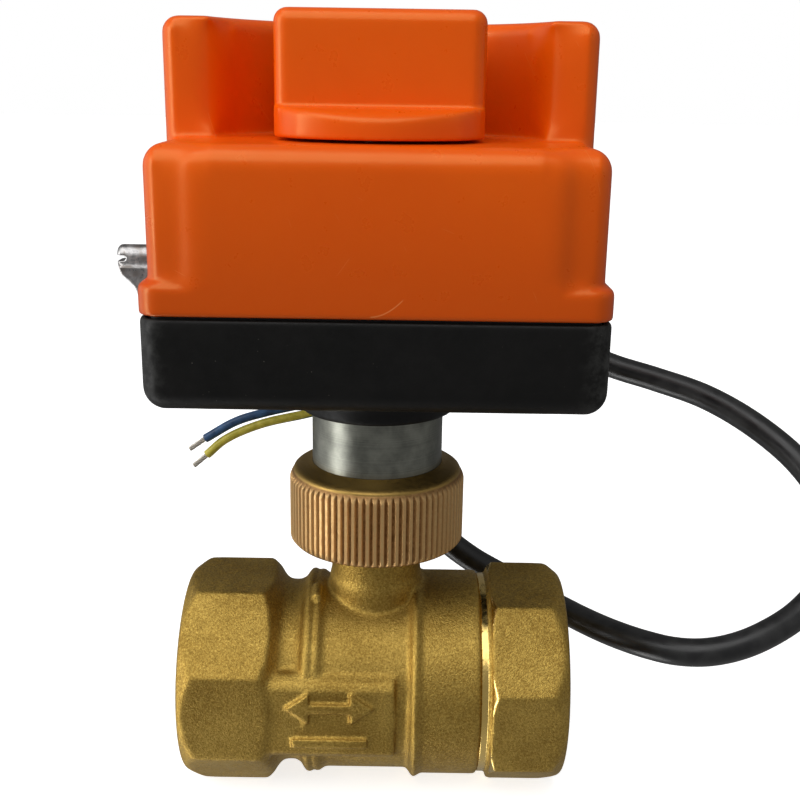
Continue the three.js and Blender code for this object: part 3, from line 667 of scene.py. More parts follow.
def socket_cutter(side):
    """Everything that is bored out from one end of the valve."""
    profile = [
        (0, END + 1), (THREAD_ROOT + 1.1, END + 1), (THREAD_ROOT + 0.1, END), (THREAD_ROOT, END - 0.2),
        (THREAD_ROOT, SOCKET_FLOOR + 0.6), (SOCKET_R - 0.6, SOCKET_FLOOR), (PASSAGE_R, SOCKET_FLOOR),
        (PASSAGE_R, 5), (0, 5),
    ]
    return lathe("socket", [(r, side * x) for r, x in profile], "X", 128)


def casting():
    """The cast body: octagon, barrel with its bead and step, stem boss, mark pad and everything bored out."""
    chamfer = lathe("chamfer", [
        (0, -END), (FACE_R, -END), (CORNER_R, -END + 2.5), (CORNER_R, -OCTAGON_IN - 1.4),
        (BARREL_R, -OCTAGON_IN), (0, -OCTAGON_IN),
    ], "X", 128)
    end = combine(octagon("valve_casting", -END, -OCTAGON_IN), ("INTERSECT", chamfer))
    bead = [
        (14.2, -10.9), (14.95, -10.5), (15.5, -10), (15.5, -9.5), (15.15, -9.05), (15.4, -8.6), (15.3, -8.1),
        (14.8, -7.5),
    ]
    step = [(14.7, -1.3), (15, -0.9), (15.8, -0.4), (16.1, 0), (15.9, 0.45)]
    barrel = lathe("barrel", [
        (0, -OCTAGON_IN - 1), (15.3, -OCTAGON_IN), *arc((15.3, -13), 1.6, 240, 180, 4), (13.7, -11.9), *bead,
        (14.7, -6.9), *((r, STEP_X + x) for r, x in step), (BARREL_R, STEP_X + 1), (BARREL_R, RIM_X - 0.3),
        (BARREL_R - 0.15, RIM_X + 0.2), (0, RIM_X + 0.2),
    ], "X", 160)
    boss = lathe("boss", [
        (0, 6), (BOSS_R, 6), (BOSS_R + 0.05, 15.4), (BOSS_R, 16.4), (6.75, 17.2), (6.7, 18), (6.7, 24),
        (10.9, 24), (10.9, 29.5), (0, 29.5),
    ], "Z", 96)
    pad = prism("pad", [
        (-9, -6.8), (-14.2, -6.6), (-15.3, -5.4), (-15.3, 4.6), (-14.6, 5.6), (-13.4, 6.3), (-9, 6.6),
    ], -OCTAGON_IN - 0.5, 3.2, "X")
    nub = soft_block("nub", both(0.75), both(1.9), (9, 16.1), 0.7, 0, 0.6, 5)
    nub.data.transform(Matrix.Translation((-8.6, 0, 0)) @ Matrix.Rotation(math.radians(15), 4, "X"))
    shape = combine(end, *join(barrel, boss, pad, nub), *cut(socket_cutter(-1)))
    stem = lathe("stem", [(0, 5), (5.6, 5), (5.6, 14.2), (4.5, 14.2), (4.5, 31), (0, 31)], "Z", 48)
    cavity = lathe("cavity", [
        (0, -SEAT_POCKET), (SEAT_R, -SEAT_POCKET), (SEAT_R, -7.4), (12.4, -7.4), (12.4, SEAL_SEAT),
        (14, SEAL_SEAT), (14, RIM_X + 1), (0, RIM_X + 1),
    ], "X", 96)
    return combine(shape, *cut(stem, cavity))


def flow_mark():
    """The generic cast mark: a two-headed flow arrow over a plain bar."""
    deep = (-16.1, -15)
    parts = [box("mark", (-10, -2.4), deep, (1.4, 2.8)), box("mark", (-11.6, -0.8), deep, (-4.2, -2.8))]
    for side in (-1, 1):
        head = [(-6.2 + side * 6.4, 2.1), (-6.2 + side * 3, 4.5), (-6.2 + side * 3, -0.3)]
        parts.append(prism("mark", head[::side], *deep, "Y"))
    return parts


def on_mark(x, y, z):
    return (y < -15.05) & (x > -13.2) & (x < 0.6) & (z < 4.6)


def octagon_and_waist(x, y, z):
    return (x > 0.9 - END) & (x < -11.9) & (z < 20) & ~on_mark(x, y, z)


def pad_edges(x, y, z):
    return (x > -13) & (x < 4.6) & (y < -11) & (z < 7) & ((z > 3.9) | (x > 2)) & ~on_mark(x, y, z)


def boss_foot(x, y, z):
    return (np.abs(np.hypot(x, y) - BOSS_R - 0.4) < 1.5) & (z > 10) & (z < 16.4)


VOXEL = 0.28

body_piece = combine(casting(), *join(*flow_mark()))
soften(body_piece, VOXEL, 2, [
    (octagon_and_waist, 14),
    (pad_edges, 10),
    (lambda x, y, z: (x < 3.9 - END) & (y < 14), 12),
    (boss_foot, 12),
])
BRASS_BODY = cast_brass("brass_body", body_machined)
place(body_piece, "valve", BRASS_BODY, ["valve_body"])


def cap_shape():
    """The screwed end: its octagon, its neck and the pocket of its seat."""
    chamfer = lathe("chamfer", [
        (0, CAP_OCTAGON), (16, CAP_OCTAGON), (CORNER_R, CAP_OCTAGON + 0.8), (CORNER_R, END - 2.5),
        (FACE_R, END), (0, END),
    ], "X", 128)
    grip = combine(octagon("cap_casting", CAP_OCTAGON, END, CAP_TILT), ("INTERSECT", chamfer))
    neck = lathe("neck", [
        (0, 7.4), (SOCKET_R, 7.4), (SOCKET_R, RIM_X + 0.1), (NECK_R, RIM_X + 0.1),
        (NECK_R, CAP_OCTAGON + 1.5), (0, CAP_OCTAGON + 1.5),
    ], "X", 128)
    pocket = rod("pocket", SEAT_R, 5, SEAT_POCKET, "X")
    return combine(grip, *join(neck), *cut(socket_cutter(1), pocket))


cap_piece = soften(cap_shape(), VOXEL, 1, [
    (lambda x, y, z: (x > CAP_OCTAGON + 1.3) & (x < END - 0.4), 6),
    (lambda x, y, z: (x > END - 4) & (y < 14), 12),
])
BRASS_CAP = cast_brass("brass_cap", cap_machined)
place(cap_piece, "valve", BRASS_CAP, ["end_cap"])


def pipe_thread(name, side):
    """The female pipe thread cut in one socket, running out before the socket's floor."""
    points = 120
    per_pitch = 14
    low = SOCKET_FLOOR + 0.9
    high = END - 0.15
    count = int((high - low) / THREAD_PITCH * per_pitch)
    rings = []
    for i in range(count + 1):
        x = low + (high - low) * i / count
        mouth = SOCKET_R + max(0.0, x - (END - 1.0)) * 1.1
        run_out = min(1.0, (x - low) / 1.2)
        radii = []
        for j in range(points):
            share = (x / THREAD_PITCH + side * j / points) % 1.0
            crest = max(0.0, min(1.0, 2.6 * abs(share - 0.5) * 2 - 0.8))
            depth = (THREAD_ROOT - 0.05 - SOCKET_R) * crest * run_out
            radii.append(min(THREAD_ROOT + 0.02, max(SOCKET_R + depth, mouth)))
        rings.append((radii, side * x))
    rings += [([THREAD_ROOT + 0.25] * points, side * x) for x in (high, low)]
    return ring_solid(name, rings, "X")


MACHINED = turned_metal("brass_machined", colour(176, 138, 66), colour(230, 200, 122), 0.24, "X", 0.1, 0.01)
for name, side in (("inlet_thread", -1), ("outlet_thread", 1)):
    place(pipe_thread(name, side), "valve", MACHINED, sharp=35)


def ball_shape():
    steps = 48
    angles = [math.pi * i / steps for i in range(1, steps)]
    profile = [(BALL_R * math.sin(t), -BALL_R * math.cos(t)) for t in angles]
    profile = [(0, -BALL_R), *profile, (0, BALL_R)]
    port = rod("port", PORT_R, -13, 13, "X", segments=96)
    slot = box("slot", both(4.4), both(1.7), (8.6, 13))
    return combine(lathe("bored_ball", profile, "Z", 96), *cut(port, slot))


CHROME = turned_metal("chromed_ball", colour(176, 178, 180), colour(214, 216, 218), 0.12, "Z", 0.3, 0.004)
place(ball_shape(), "drive", CHROME, ["ball"], 35)


def seat_shape(name, side):
    """A PTFE seat whose inner edge follows the ball."""
    touch = BALL_R + 0.05
    radii = [PORT_R + (8.75 - PORT_R) * i / 8 for i in range(9)]
    curve = [(r, math.sqrt(touch**2 - r**2)) for r in radii]
    profile = [*curve, (10.3, 7.5), (10.6, 7.8), (10.6, 11.7), (10.3, 12), (7.8, 12), (PORT_R, 11.7)]
    return lathe(name, [(r, side * x) for r, x in profile], "X", 96)


PTFE = milky("ptfe", colour(226, 226, 220), colour(240, 240, 236), 0.4, 0.2, 0.004)
for name, side in (("seat_inlet", -1), ("seat_outlet", 1)):
    place(seat_shape(f"{name}_ring", side), "valve", PTFE, [name], 40)


# ---------- union nut and neck

NUT_R = 12.92
NUT_RIDGES = 78
RIDGE_DEPTH = 0.42
SLEEVE_R = 9.55


def nut_shape():
    """A ring whose outside is grooved; the grooves run out in pointed arches under the rim's chamfer."""
    per_ridge = 10
    count = NUT_RIDGES * per_ridge
    waves = [0.5 - 0.5 * math.cos(2 * math.pi * j / per_ridge) for j in range(count)]
    ridges = [NUT_R - RIDGE_DEPTH * max(0.0, 1 - 1.7 * wave) ** 0.9 for wave in waves]
    bottom = 22.63
    arch_low, arch_high = 32.2, 33.4
    outside = [
        (NUT_R - 0.75, bottom), (NUT_R - 0.42, bottom + 0.12), (NUT_R - 0.2, bottom + 0.34),
        (NUT_R, bottom + 0.6),
        *((NUT_R, 24 + 0.9 * i) for i in range(9)),
        *((NUT_R - 0.56 * (i / 12) ** 1.5, arch_low + (arch_high - arch_low) * i / 12) for i in range(13)),
    ]
    shoulder = [
        (NUT_R - 0.56, 33.5), (NUT_R - 0.64, 33.66), (NUT_R - 0.82, 33.84), (NUT_R - 1.1, 34.02),
        (11.4, 34.16), (11, 34.28), (10.6, 34.4), (10.2, 34.54), (9.9, 34.68), (SLEEVE_R + 0.05, 34.85),
    ]
    inside = [(SLEEVE_R + 0.05, 31.5), (11.3, 31.5), (11.3, bottom + 0.5), (11.7, bottom)]
    rings = [([min(ridge, limit) for ridge in ridges], z) for limit, z in outside]
    rings += [([r] * count, z) for r, z in shoulder + inside]
    return ring_solid("knurled_nut", rings, start=0.5)


def nut_finish():
    """Tumbled brown brass, darker between the ridges, with a turned shoulder."""
    f = Finish("nut_brass", Metallic=1.0)
    grain = f.noise(1.6, 4, 0.65)
    crest = f.band(f.radius("Z"), NUT_R - RIDGE_DEPTH, NUT_R - 0.06)
    base = f.mix(crest, colour(146, 110, 68), colour(208, 172, 118))
    base = f.mix(f.band(grain, 0.35, 0.7, 0, 0.6), base, colour(204, 162, 110))
    turned = f.band(f.axis("Z"), 33.2, 33.6)
    f.set("Base Color", f.mix(turned, base, colour(176, 144, 80)))
    f.set("Roughness", f.math("MULTIPLY_ADD", turned, -0.1, f.band(grain, 0.3, 0.7, 0.5, 0.64)))
    f.bump(f.noise(4.5, 3, 0.6), 0.03, 0.5)
    return f.material


place(nut_shape(), "nut", nut_finish(), ["union_nut"], 50)

NECK = turned_metal("neck_steel", colour(98, 99, 92), colour(140, 141, 131), 0.28, "Z", 0.09, 0.02, 0.5)
neck_piece = lathe("turned_neck", [
    (7.4, 29.8), (10.75, 29.8), (10.95, 30), (10.95, 31.1), (10.85, 31.2), (SLEEVE_R, 31.2),
    (SLEEVE_R, 43.85), (SLEEVE_R - 0.15, 44), (8.9, 44), (8.9, 49.4), (8.1, 49.4), (8.1, 50.6), (8.9, 50.6),
    (8.9, 52), (8.7, 52.2), (7.2, 52.2), (7.2, 30),
], "Z", 160)
place(neck_piece, "valve", NECK, ["neck_sleeve"], 35)

# ---------- base

BASE_HALF = 30.4
FRONT_Y = -19
BACK_Y = 25
BASE_Z = (46.8, 59.25)
BOSS_Z = 43.1
FLOOR_Z = 49.33
LEDGE_Z = 58.2  # where the cover's seal lies
POST_X = 24.8
POSTS_Y = (-13.8, 19.6)
PILLARS = ((-19.4, -13.2), (19.4, -13.2), (20.4, 18.4))
POSTS = [(side * POST_X, y) for y in POSTS_Y for side in (-1, 1)]


def base_shape():
    """The lower housing: a tray with a boss for the neck, screw posts and the gear plate's pillars."""
    outside = soft_block("moulded_base", both(BASE_HALF), (FRONT_Y, BACK_Y), BASE_Z, 2.9, 3.2, 0.35, 10)
    boss = lathe("boss", [
        (0, BOSS_Z), (10.9, BOSS_Z), *arc((10.9, BOSS_Z + 0.5), 0.5, -90, -10, 4), (11.7, 45.2), (12.1, 46.4),
        (12.8, 47.6), (0, 48.2),
    ], "Z", 128)
    posts = [rod("post", 3.1, FLOOR_Z - 1, LEDGE_Z, centre=(x, y, 0), segments=24) for x, y in POSTS]
    pillars = [rod("pillar", 1.9, FLOOR_Z - 1, 60.1, centre=(x, y, 0), segments=20) for x, y in PILLARS]
    cavity = soft_block("cavity", both(28.4), (FRONT_Y + 2, BACK_Y - 2), (FLOOR_Z, 61), 1.4, 0, 0, 4)
    ledge = soft_block("ledge", both(29.4), (FRONT_Y + 1, BACK_Y - 1), (LEDGE_Z, 61), 1.8, 0, 0, 4)
    shape = combine(outside, *join(boss), *cut(cavity, ledge), *join(*posts, *pillars))
    screw_way = [(0, 46), (3.4, 46), (3.2, 46.9), (2.9, 47.4), (2.9, 50), (1.5, 50), (1.5, 60), (0, 60)]
    holes = [lathe("hole", screw_way, centre=(x, y, 0), segments=32) for x, y in POSTS]
    holes += [rod("hole", 1.1, 52, 62, centre=(x, y, 0), segments=16) for x, y in PILLARS]
    mouth = SLEEVE_R + 0.3
    neck_hole = lathe("neck_hole", [
        (0, 42), (10.3, 42), (mouth, 43.5), (mouth, 44.3), (9.2, 44.3), (9.2, 51), (0, 51),
    ])
    gland_hole = rod("gland_hole", 3.2, 22, 26, "Y", (GLAND_X, 0, GLAND_Z), 40)
    return combine(shape, *cut(*holes, neck_hole, gland_hole))


def base_finish():
    """Spark-textured black nylon with dust and greyish patches near its corners, strongest at the front."""
    f = Finish("black_nylon")
    f.shader.inputs["Specular IOR Level"].default_value = 0.18
    x = f.math("ABSOLUTE", f.axis("X"))
    cloud = f.noise(0.12, 4, 0.6)
    corner = f.times(f.band(x, 25.5, 29.8), f.band(f.axis("Y"), -17.5, -12, 1, 0.12))
    patch = f.times(corner, f.band(f.noise(0.4, 4, 0.7), 0.36, 0.66))
    base = f.mix(f.band(cloud, 0.3, 0.7), colour(10, 10, 9), colour(16, 15, 14))
    base = f.mix(f.times(patch, 0.55), base, colour(66, 66, 64))
    specks = f.band(f.cells(1.3), 0.05, 0.12, 1, 0)
    lone = f.band(f.noise(0.9, 2, vector=f.shifted(40, 0, 0)), 0.56, 0.66)
    f.set("Base Color", f.mix(f.times(specks, f.times(lone, 0.5)), base, colour(120, 116, 108)))
    f.set("Roughness", f.band(f.noise(0.6, 4, 0.7), 0.3, 0.7, 0.42, 0.58))
    f.bump(f.noise(3.2, 3, 0.6), 0.035, 0.6)
    return f.material


base_voxel = 0.32
place(soften(base_shape(), base_voxel, 3), "valve", base_finish(), ["base"])

# ---------- cover and knob

COVER_Z = 59.55
COVER_HALF = 29.35
PANEL_HALF = 24
FLANGE_Z = 63.8
SHOULDER_Z = 81.03
TOWER_Z = 96.75
TOWER_Y = -2.4
SCOOP_Y = -7.72
SCOOP_R = 23.1
LEVER_Y = -4
LEVER_Z = 64.9


def cover_shape():
    """The cover: flange, walls with a raised front panel, and a tower with a round scoop for the knob."""
    roof = SHOULDER_Z - 2
    wide = both(COVER_HALF)
    deep = (FRONT_Y + 1, BACK_Y - 1)
    flange = soft_block("moulded_cover", both(30.5), (FRONT_Y, BACK_Y), (COVER_Z, FLANGE_Z), 3, 0.25, 1)
    walls = soft_block("walls", wide, deep, (COVER_Z + 1, SHOULDER_Z), 2.9, 0, 2.9)
    panel = soft_block("panel", both(PANEL_HALF), (FRONT_Y, 0), (COVER_Z + 1, SHOULDER_Z), 1, 0, 2.9)
    tower = soft_block("tower", wide, (TOWER_Y, BACK_Y - 1), (SHOULDER_Z - 3, TOWER_Z), 2.5, 0, 2.2)
    lip = 1.6
    scoop = lathe("scoop", [
        (0, SHOULDER_Z), (SCOOP_R, SHOULDER_Z), (SCOOP_R, TOWER_Z - lip),
        *arc((SCOOP_R + lip, TOWER_Z - lip), lip, 180, 92, 8), (SCOOP_R + lip, TOWER_Z + 1), (0, TOWER_Z + 1),
    ], "Z", 160, (0, SCOOP_Y, 0))
    shape = combine(tower, *cut(scoop), *join(walls, panel, flange))
    lower = soft_block("lower", both(27.4), (-16.4, 22.2), (COVER_Z - 1, roof), 1.2, 0, 0, 4)
    keep = rod("keep", SCOOP_R + 2, roof, TOWER_Z + 1, centre=(0, SCOOP_Y, 0), segments=96)
    upper = soft_block("upper", both(27), (TOWER_Y + 2, 22), (roof - 3, TOWER_Z - 2), 1.2, 0, 0, 4)
    upper = combine(upper, *cut(keep))
    seal_top = 60.4
    seal_room = soft_block("seal_room", both(29.4), deep, (COVER_Z - 1, seal_top), 1.8, 0, 0, 4)
    shape = combine(shape, *cut(lower, upper, seal_room))
    top = roof + 0.5
    wall = [(1.5, seal_top), (2.8, seal_top), (2.8, top), (1.5, top)]
    posts = [lathe("post", wall, centre=(x, y, 0), segments=24) for x, y in POSTS]
    seal_boss = lathe("seal_boss", [(4.8, 76.6), (6.2, 76.6), (6.2, top), (4.8, top)], segments=32)
    shaft_hole = rod("shaft_hole", 3.4, roof - 2, SHOULDER_Z + 1)
    lever_hole = rod("lever_hole", 2.15, -31, -26, "X", (0, LEVER_Y, LEVER_Z), 32)
    return combine(shape, *join(*posts, seal_boss), *cut(shaft_hole, lever_hole))


def scratches(f):
    """Rare fine lines in three directions, and one curved hairline low on the front."""
    worn = []
    ways = ((24, 0.16, 0.006, 0.6), (-38, 0.11, 0.004, 0.62), (71, 0.13, 0.004, 0.63))
    for angle, scale, width, keep in ways:
        turn = {"Vector": f.mm, "Rotation": (0, math.radians(angle), 0)}
        turned = f.node("Mapping", turn).outputs[0]
        sway = f.node("TexNoise", {"Vector": f.mm, "Scale": 0.06}).outputs["Color"]
        bent = f.vector("ADD", turned, f.vector("SCALE", sway, Scale=6.0))
        across = f.node("SeparateXYZ", {0: bent}).outputs["X"]
        row = f.math("ABSOLUTE", f.math("SUBTRACT", f.math("FRACT", f.times(across, scale)), 0.5))
        some = f.band(f.noise(0.11, 2, vector=f.shifted(angle, 9, 3)), keep, keep + 0.03)
        worn.append(f.times(f.band(row, 0, width, 1, 0), some))
    along = f.math("DIVIDE", f.plus(f.axis("X"), 0.8), 4.4)
    hair = f.math("MULTIPLY_ADD", f.math("POWER", f.math("ABSOLUTE", along), 2.0), 2.4, 60.0)
    near = f.band(f.math("ABSOLUTE", f.math("SUBTRACT", f.axis("Z"), hair)), 0.05, 0.14, 1, 0)
    inside = f.times(f.band(along, 0, 0.08), f.band(along, 0.92, 1, 1, 0))
    front = f.band(f.axis("Y"), FRONT_Y + 0.4, FRONT_Y + 0.8, 1, 0)
    return f.largest(*worn, f.times(near, f.times(inside, front)))


def orange_finish(name, scratched):
    """Satin orange ABS: a soft glow inside, faint mould clouding, painted shade that darkens it towards the
    bottom, and a few handling scratches.
    """
    f = Finish(name, Subsurface_Weight=0.1, Subsurface_Scale=0.0016, Subsurface_Radius=(1.0, 0.35, 0.1))
    f.shader.inputs["Specular Tint"].default_value = (1, 0.95, 0.4, 1)
    upper = f.mix(f.band(f.noise(0.035, 3, 0.5), 0.3, 0.7), colour(224, 83, 1), colour(230, 89, 2))
    # painted shade: the orange darkens towards the bottom, standing in for less light from above reaching the
    # lower faces
    base = f.mix(f.band(f.axis("Z"), 56, 84), colour(200, 72, 2), upper)
    if scratched:
        marks = scratches(f)
        base = f.mix(f.times(marks, 0.35), base, colour(244, 160, 96))
        f.bump(marks, 0.01, 0.3)
    f.set("Base Color", base)
    f.set("Roughness", f.band(f.noise(0.3, 4, 0.65), 0.3, 0.7, 0.27, 0.36))
    f.bump(f.noise(0.9, 2, 0.5), 0.007, 0.3)
    f.bump(f.noise(5, 2, 0.5), 0.004, 0.4)
    return f.material


def scoop_corner(x, y, z):
    plan = (np.abs(np.abs(x) - 22) < 5.4) & (np.abs(y - TOWER_Y - 0.6) < 5.5)
    return plan & (z > SHOULDER_Z + 1) & (z < TOWER_Z - 0.5)


def tower_foot(x, y, z):
    return (z > SHOULDER_Z - 1) & (z < SHOULDER_Z + 1.6) & (y > -6)


def panel_edge(x, y, z):
    return (np.abs(np.abs(x) - PANEL_HALF + 0.05) < 3.45) & (y < FRONT_Y + 3) & (z > FLANGE_Z - 0.2)


cover_zones = [(scoop_corner, 700), (tower_foot, 5), (panel_edge, 110)]
cover_piece = soften(cover_shape(), 0.36, 3, cover_zones)
ORANGE = orange_finish("orange_cover", True)
place(cover_piece, "valve", ORANGE, ["cover"])

KNOB_LOW = 81.44
KNOB_TOP = 97.73
BAR_HALF = (13.9, 7)
KNOB_SWEEP = 15.2  # what the lips may reach as the knob turns in the scoop
LIP_R = 20
LIP_BACK = 6


def knob_shape():
    """A grip bar with a lip along its foot on either side, rounded in plan and rolled over on top."""
    half, deep = BAR_HALF
    across = [half * (i / 20 - 1) for i in range(41)]
    reach = [min(math.sqrt(LIP_R**2 - x * x) - LIP_BACK, math.sqrt(KNOB_SWEEP**2 - x * x)) for x in across]
    plan = [(x, -y) for x, y in zip(across, reach)]
    disc = prism("position_knob", plan + [(-x, -y) for x, y in plan], KNOB_LOW, KNOB_LOW + 5)
    angles = [math.pi / 2 * i / 14 for i in range(15)]
    roll = [(deep + 9.2 * math.sin(t), KNOB_LOW + 0.5 + 3.45 * math.cos(t)) for t in angles]
    section = [*roll, (16, KNOB_LOW - 1), (-16, KNOB_LOW - 1), *[(-y, z) for y, z in reversed(roll)]]
    lips = prism("lips", section, -17, 17, "X")
    bar = soft_block("bar", both(half), both(deep), (KNOB_LOW + 0.15, KNOB_TOP), 2, 0.2, 1.8)
    socket = rod("socket", 3.3, KNOB_LOW - 1, 88.3, segments=32)
    return combine(disc, ("INTERSECT", lips), *join(bar), *cut(socket))


def lip_crease(x, y, z):
    return (z > KNOB_LOW + 0.8) & (z < KNOB_LOW + 3.9) & (np.abs(y) > BAR_HALF[1] + 0.7)


knob_piece = soften(knob_shape(), 0.24, 3, [(lip_crease, 70)])
place(knob_piece, "drive", orange_finish("orange_knob", False), ["knob"])

# ---------- release lever, gland and screws


def lever_shape():
    """The release lever: a slotted shaft that leaves the cover, with a web under it."""
    shaft = lathe("lever_arm", [
        (0, -35.8), (1, -35.8), *arc((1, -35.05), 0.75, -90, 0, 5)[1:], (1.75, -25.8), (1.2, -25.8),
        (1.2, -23.6), (0, -23.6),
    ], "X", 48, (0, LEVER_Y, LEVER_Z))
    tab = [
        (-31.2, 0), (-35.7, 0), (-35.65, -1.4), (-35.3, -2.4), (-33.6, -4), (-33.2, -5.2), (-32.5, -6.2),
        (-31.2, -6.8),
    ]
    web = prism("web", [(x, LEVER_Z + z) for x, z in tab], LEVER_Y - 1.1, LEVER_Y + 1.1, "Y")
    slot = box("slot", (-37, -34.5), (LEVER_Y - 4, LEVER_Y + 4), (LEVER_Z - 0.35, LEVER_Z + 0.35))
    return combine(shaft, *join(web), *cut(slot))


def die_cast_finish():
    """Rough zinc with brownish stains."""
    f = Finish("die_cast_zinc", Metallic=1.0)
    grain = f.noise(1.4, 4, 0.7)
    stain = f.band(f.noise(0.7, 4, 0.6), 0.5, 0.68)
    base = f.mix(f.band(grain, 0.3, 0.7), colour(138, 136, 136), colour(196, 195, 194))
    f.set("Base Color", f.mix(f.times(stain, 0.6), base, colour(96, 80, 66)))
    f.set("Roughness", f.band(grain, 0.3, 0.7, 0.26, 0.46))
    f.bump(grain, 0.05, 0.6)
    return f.material


place(soften(lever_shape(), 0.18, 4), "lever", die_cast_finish(), ["release_lever"])

RUBBER = moulded("rubber", colour(18, 18, 18), colour(28, 28, 28), 0.6, 0.25, 0.02, 0.4)
gland_piece = lathe("strain_relief", [
    (2.25, 21.7), (3.7, 21.6), (3.8, 21.8), (3.8, 22.6), (2.9, 22.7), (2.9, 25.3), (3.7, 25.3),
    (3.8, 25.45), (3.8, 26.6), (3.65, 26.9), (3.35, 27.1), (3.3, 27.5), (3.55, 27.6), (3.5, 28.3),
    (3.15, 28.4), (3.12, 28.9), (3.35, 29), (3.3, 29.7), (2.98, 29.8), (2.95, 30.3), (3.12, 30.4),
    (3.05, 31.2), (2.9, GLAND_MOUTH), (2.3, GLAND_MOUTH), (2.25, 31.2),
], "Y", 64, (GLAND_X, 0, GLAND_Z))
place(gland_piece, "valve", RUBBER, ["cable_gland"], 50)


def screw_shape(name, x, y):
    """A cover screw with a crossed recess, turned to an angle of its own."""
    head = lathe(name, [
        (0, 48), (1.4, 48.02), (2.0, 48.16), (2.35, 48.45), (2.5, 48.8), (2.5, 49.6), (2.4, 49.7),
        (1.2, 49.7), (1.2, 67.2), (0, 68),
    ], "Z", 40)
    recess = [box("recess", both(a), both(b), (47.5, 48.8)) for a, b in ((1.5, 0.32), (0.32, 1.5))]
    shape = combine(head, *cut(*recess))
    shape.data.transform(Matrix.Translation((x, y, 0)) @ Matrix.Rotation(0.6 * x + y, 4, "Z"))
    return shape


ZINC = turned_metal("zinc_plated", colour(150, 152, 156), colour(206, 208, 210), 0.25, "Z", 0.2, 0.01, 0.4)
for number, (x, y) in enumerate(POSTS, 1):
    place(screw_shape(f"case_screw_{number}", x, y), "valve", ZINC, [f"cover_screw_{number}"], 35)

# ---------- finishes of the CAD nodes that stay


def board_finish():
    """Green solder mask with tracks and pads."""
    f = Finish("circuit_board", Roughness=0.32)
    tracks = f.band(f.cells(0.28, "DISTANCE_TO_EDGE"), 0.05, 0.07, 1, 0)
    pads = f.band(f.cells(0.45), 0.2, 0.24, 1, 0)
    base = f.mix(tracks, colour(28, 84, 44), colour(52, 118, 66))
    f.set("Base Color", f.mix(pads, base, colour(196, 190, 172)))
    f.bump(f.plus(tracks, pads), 0.03, 0.5)
    return f.material


ACETAL = milky("acetal", colour(224, 220, 206), colour(236, 232, 220), 0.38, 0.3, 0.006)
SWITCH = moulded("switch_body", colour(36, 40, 50), colour(50, 54, 64), 0.45, 0.2, 0.02)
STEEL = turned_metal("plain_steel", colour(140, 142, 140), colour(188, 190, 188), 0.3, "Z", 0.3, 0.01)
CAD_FINISHES = (
    (MACHINED, ("valve_stem",)),
    (STEEL, ("drive_coupler", "gear_plate")),
    (ZINC, ("snap_ring", "output_shaft", "motor_pinion", "gear_a_pin", "gear_b_pin", "motor")),
    (ZINC, ("plate_screw_1", "plate_screw_2", "plate_screw_3")),
    (ORANGE, ("capacitor",)),
    (RUBBER, ("stem_oring_lower", "stem_oring_upper", "cover_seal", "shaft_seal")),
    (PTFE, ("end_cap_seal", "stem_washer")),
    (ACETAL, ("output_gear", "gear_a", "gear_b", "plunger_open", "plunger_shut", "cam_open", "cam_shut")),
    (ACETAL, ("release_crank",)),
    (SWITCH, ("switch_open", "switch_shut")),
    (board_finish(), ("circuit_board",)),
)
finish_of = {name: material for material, names in CAD_FINISHES for name in names}
for name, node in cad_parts.items():
    if node.hide_render:
        continue
    node.data.materials.clear()
    node.data.materials.append(finish_of[name])
    node.data.shade_smooth()
    node.data.set_sharp_from_angle(angle=math.radians(32))

# ---------- floor, light and world

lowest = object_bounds()[0].z
bpy.ops.mesh.primitive_plane_add(size=6, location=(0, 0, lowest - 0.1 * MM))
floor = bpy.context.object
floor.name = "floor"
ground = Finish("pale_floor", Roughness=0.8)
ground.shader.inputs["Specular IOR Level"].default_value = 0.2
ground.set("Base Color", ground.mix(ground.noise(0.01, 3), colour(236, 236, 236), colour(244, 244, 244)))
ground.shader.inputs["Emission Color"].default_value = (1, 1, 1, 1)
ground.shader.inputs["Emission Strength"].default_value = 0.75
floor.data.materials.append(ground.material)
floor.visible_glossy = False
floor.visible_diffuse = False


AIM = Vector((0, 0, 0.04))


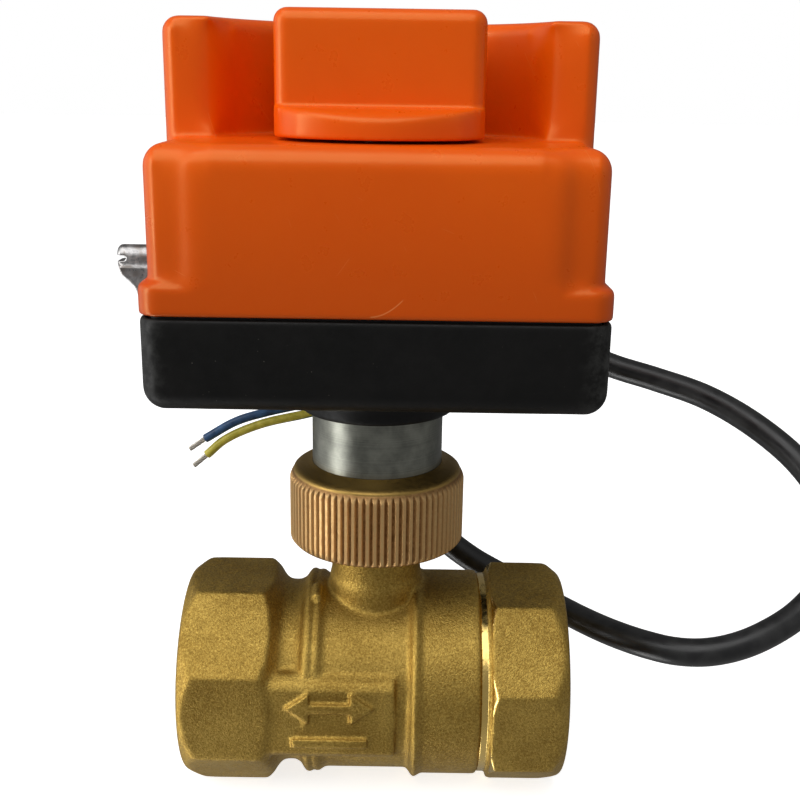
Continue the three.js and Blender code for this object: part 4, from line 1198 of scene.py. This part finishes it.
def softbox(name, at, size, power):
    """A soft rectangular lamp that faces the valve."""
    light = bpy.data.lights.new(name, "AREA")
    light.shape = "RECTANGLE"
    light.size, light.size_y = size
    light.energy = power
    lamp = bpy.data.objects.new(name, light)
    scene.collection.objects.link(lamp)
    lamp.location = at
    lamp.rotation_mode = "QUATERNION"
    lamp.rotation_quaternion = (AIM - Vector(at)).to_track_quat("-Z", "Y")


softbox("overhead", (-0.1, -0.2, 0.45), (0.5, 0.44), 1.5)
softbox("right_fill", (0.6, -0.25, 0.3), (0.3, 0.4), 0.1)

world = bpy.data.worlds.new("studio")
world.use_nodes = True
scene.world = world
sky = Nodes(world.node_tree)
direction = sky.node("TexCoord").outputs["Generated"]
east, north, up = sky.node("SeparateXYZ", {0: direction}).outputs
WINDOW_ANGLE = 70  # degrees left of the front


def towards(angle):
    """How far a direction of the room leans towards an angle, in degrees left of the front."""
    turn = math.radians(angle)
    return sky.vector("DOT_PRODUCT", direction, (-math.sin(turn), -math.cos(turn), 0))


back = sky.band(north, 0, 0.6, 1, 0.55)
ceiling = sky.band(up, 0.2, 0.95, 0.3, 0.38)
paper = sky.band(up, -0.95, -0.4, 0.14, 0)
low_sky = sky.band(up, 0.35, 0.75, 1, 0)
wall = sky.times(sky.band(east, -0.97, -0.6, 0.9, 0), low_sky)
off_centre = towards(WINDOW_ANGLE + 90)
pane = sky.times(sky.band(off_centre, -0.17, -0.1, 0, 1), sky.band(off_centre, 0.1, 0.17, 1, 0))
facing = sky.times(sky.band(towards(WINDOW_ANGLE), 0.2, 0.4, 0, 5.8), low_sky)
glow = sky.plus(sky.plus(sky.times(pane, facing), wall), paper)
strength = sky.plus(sky.times(ceiling, back), glow)
room = sky.tree.nodes["Background"]
room.inputs["Color"].default_value = (1, 1, 1, 1)
sky.tree.links.new(strength, room.inputs["Strength"])
backdrop = sky.node("Background", {"Color": (1, 1, 1, 1)})
seen = sky.node("LightPath").outputs["Is Camera Ray"]
either = sky.node("MixShader", {0: seen, 1: room.outputs[0], 2: backdrop.outputs[0]})
sky.tree.links.new(either.outputs[0], sky.tree.nodes["World Output"].inputs["Surface"])
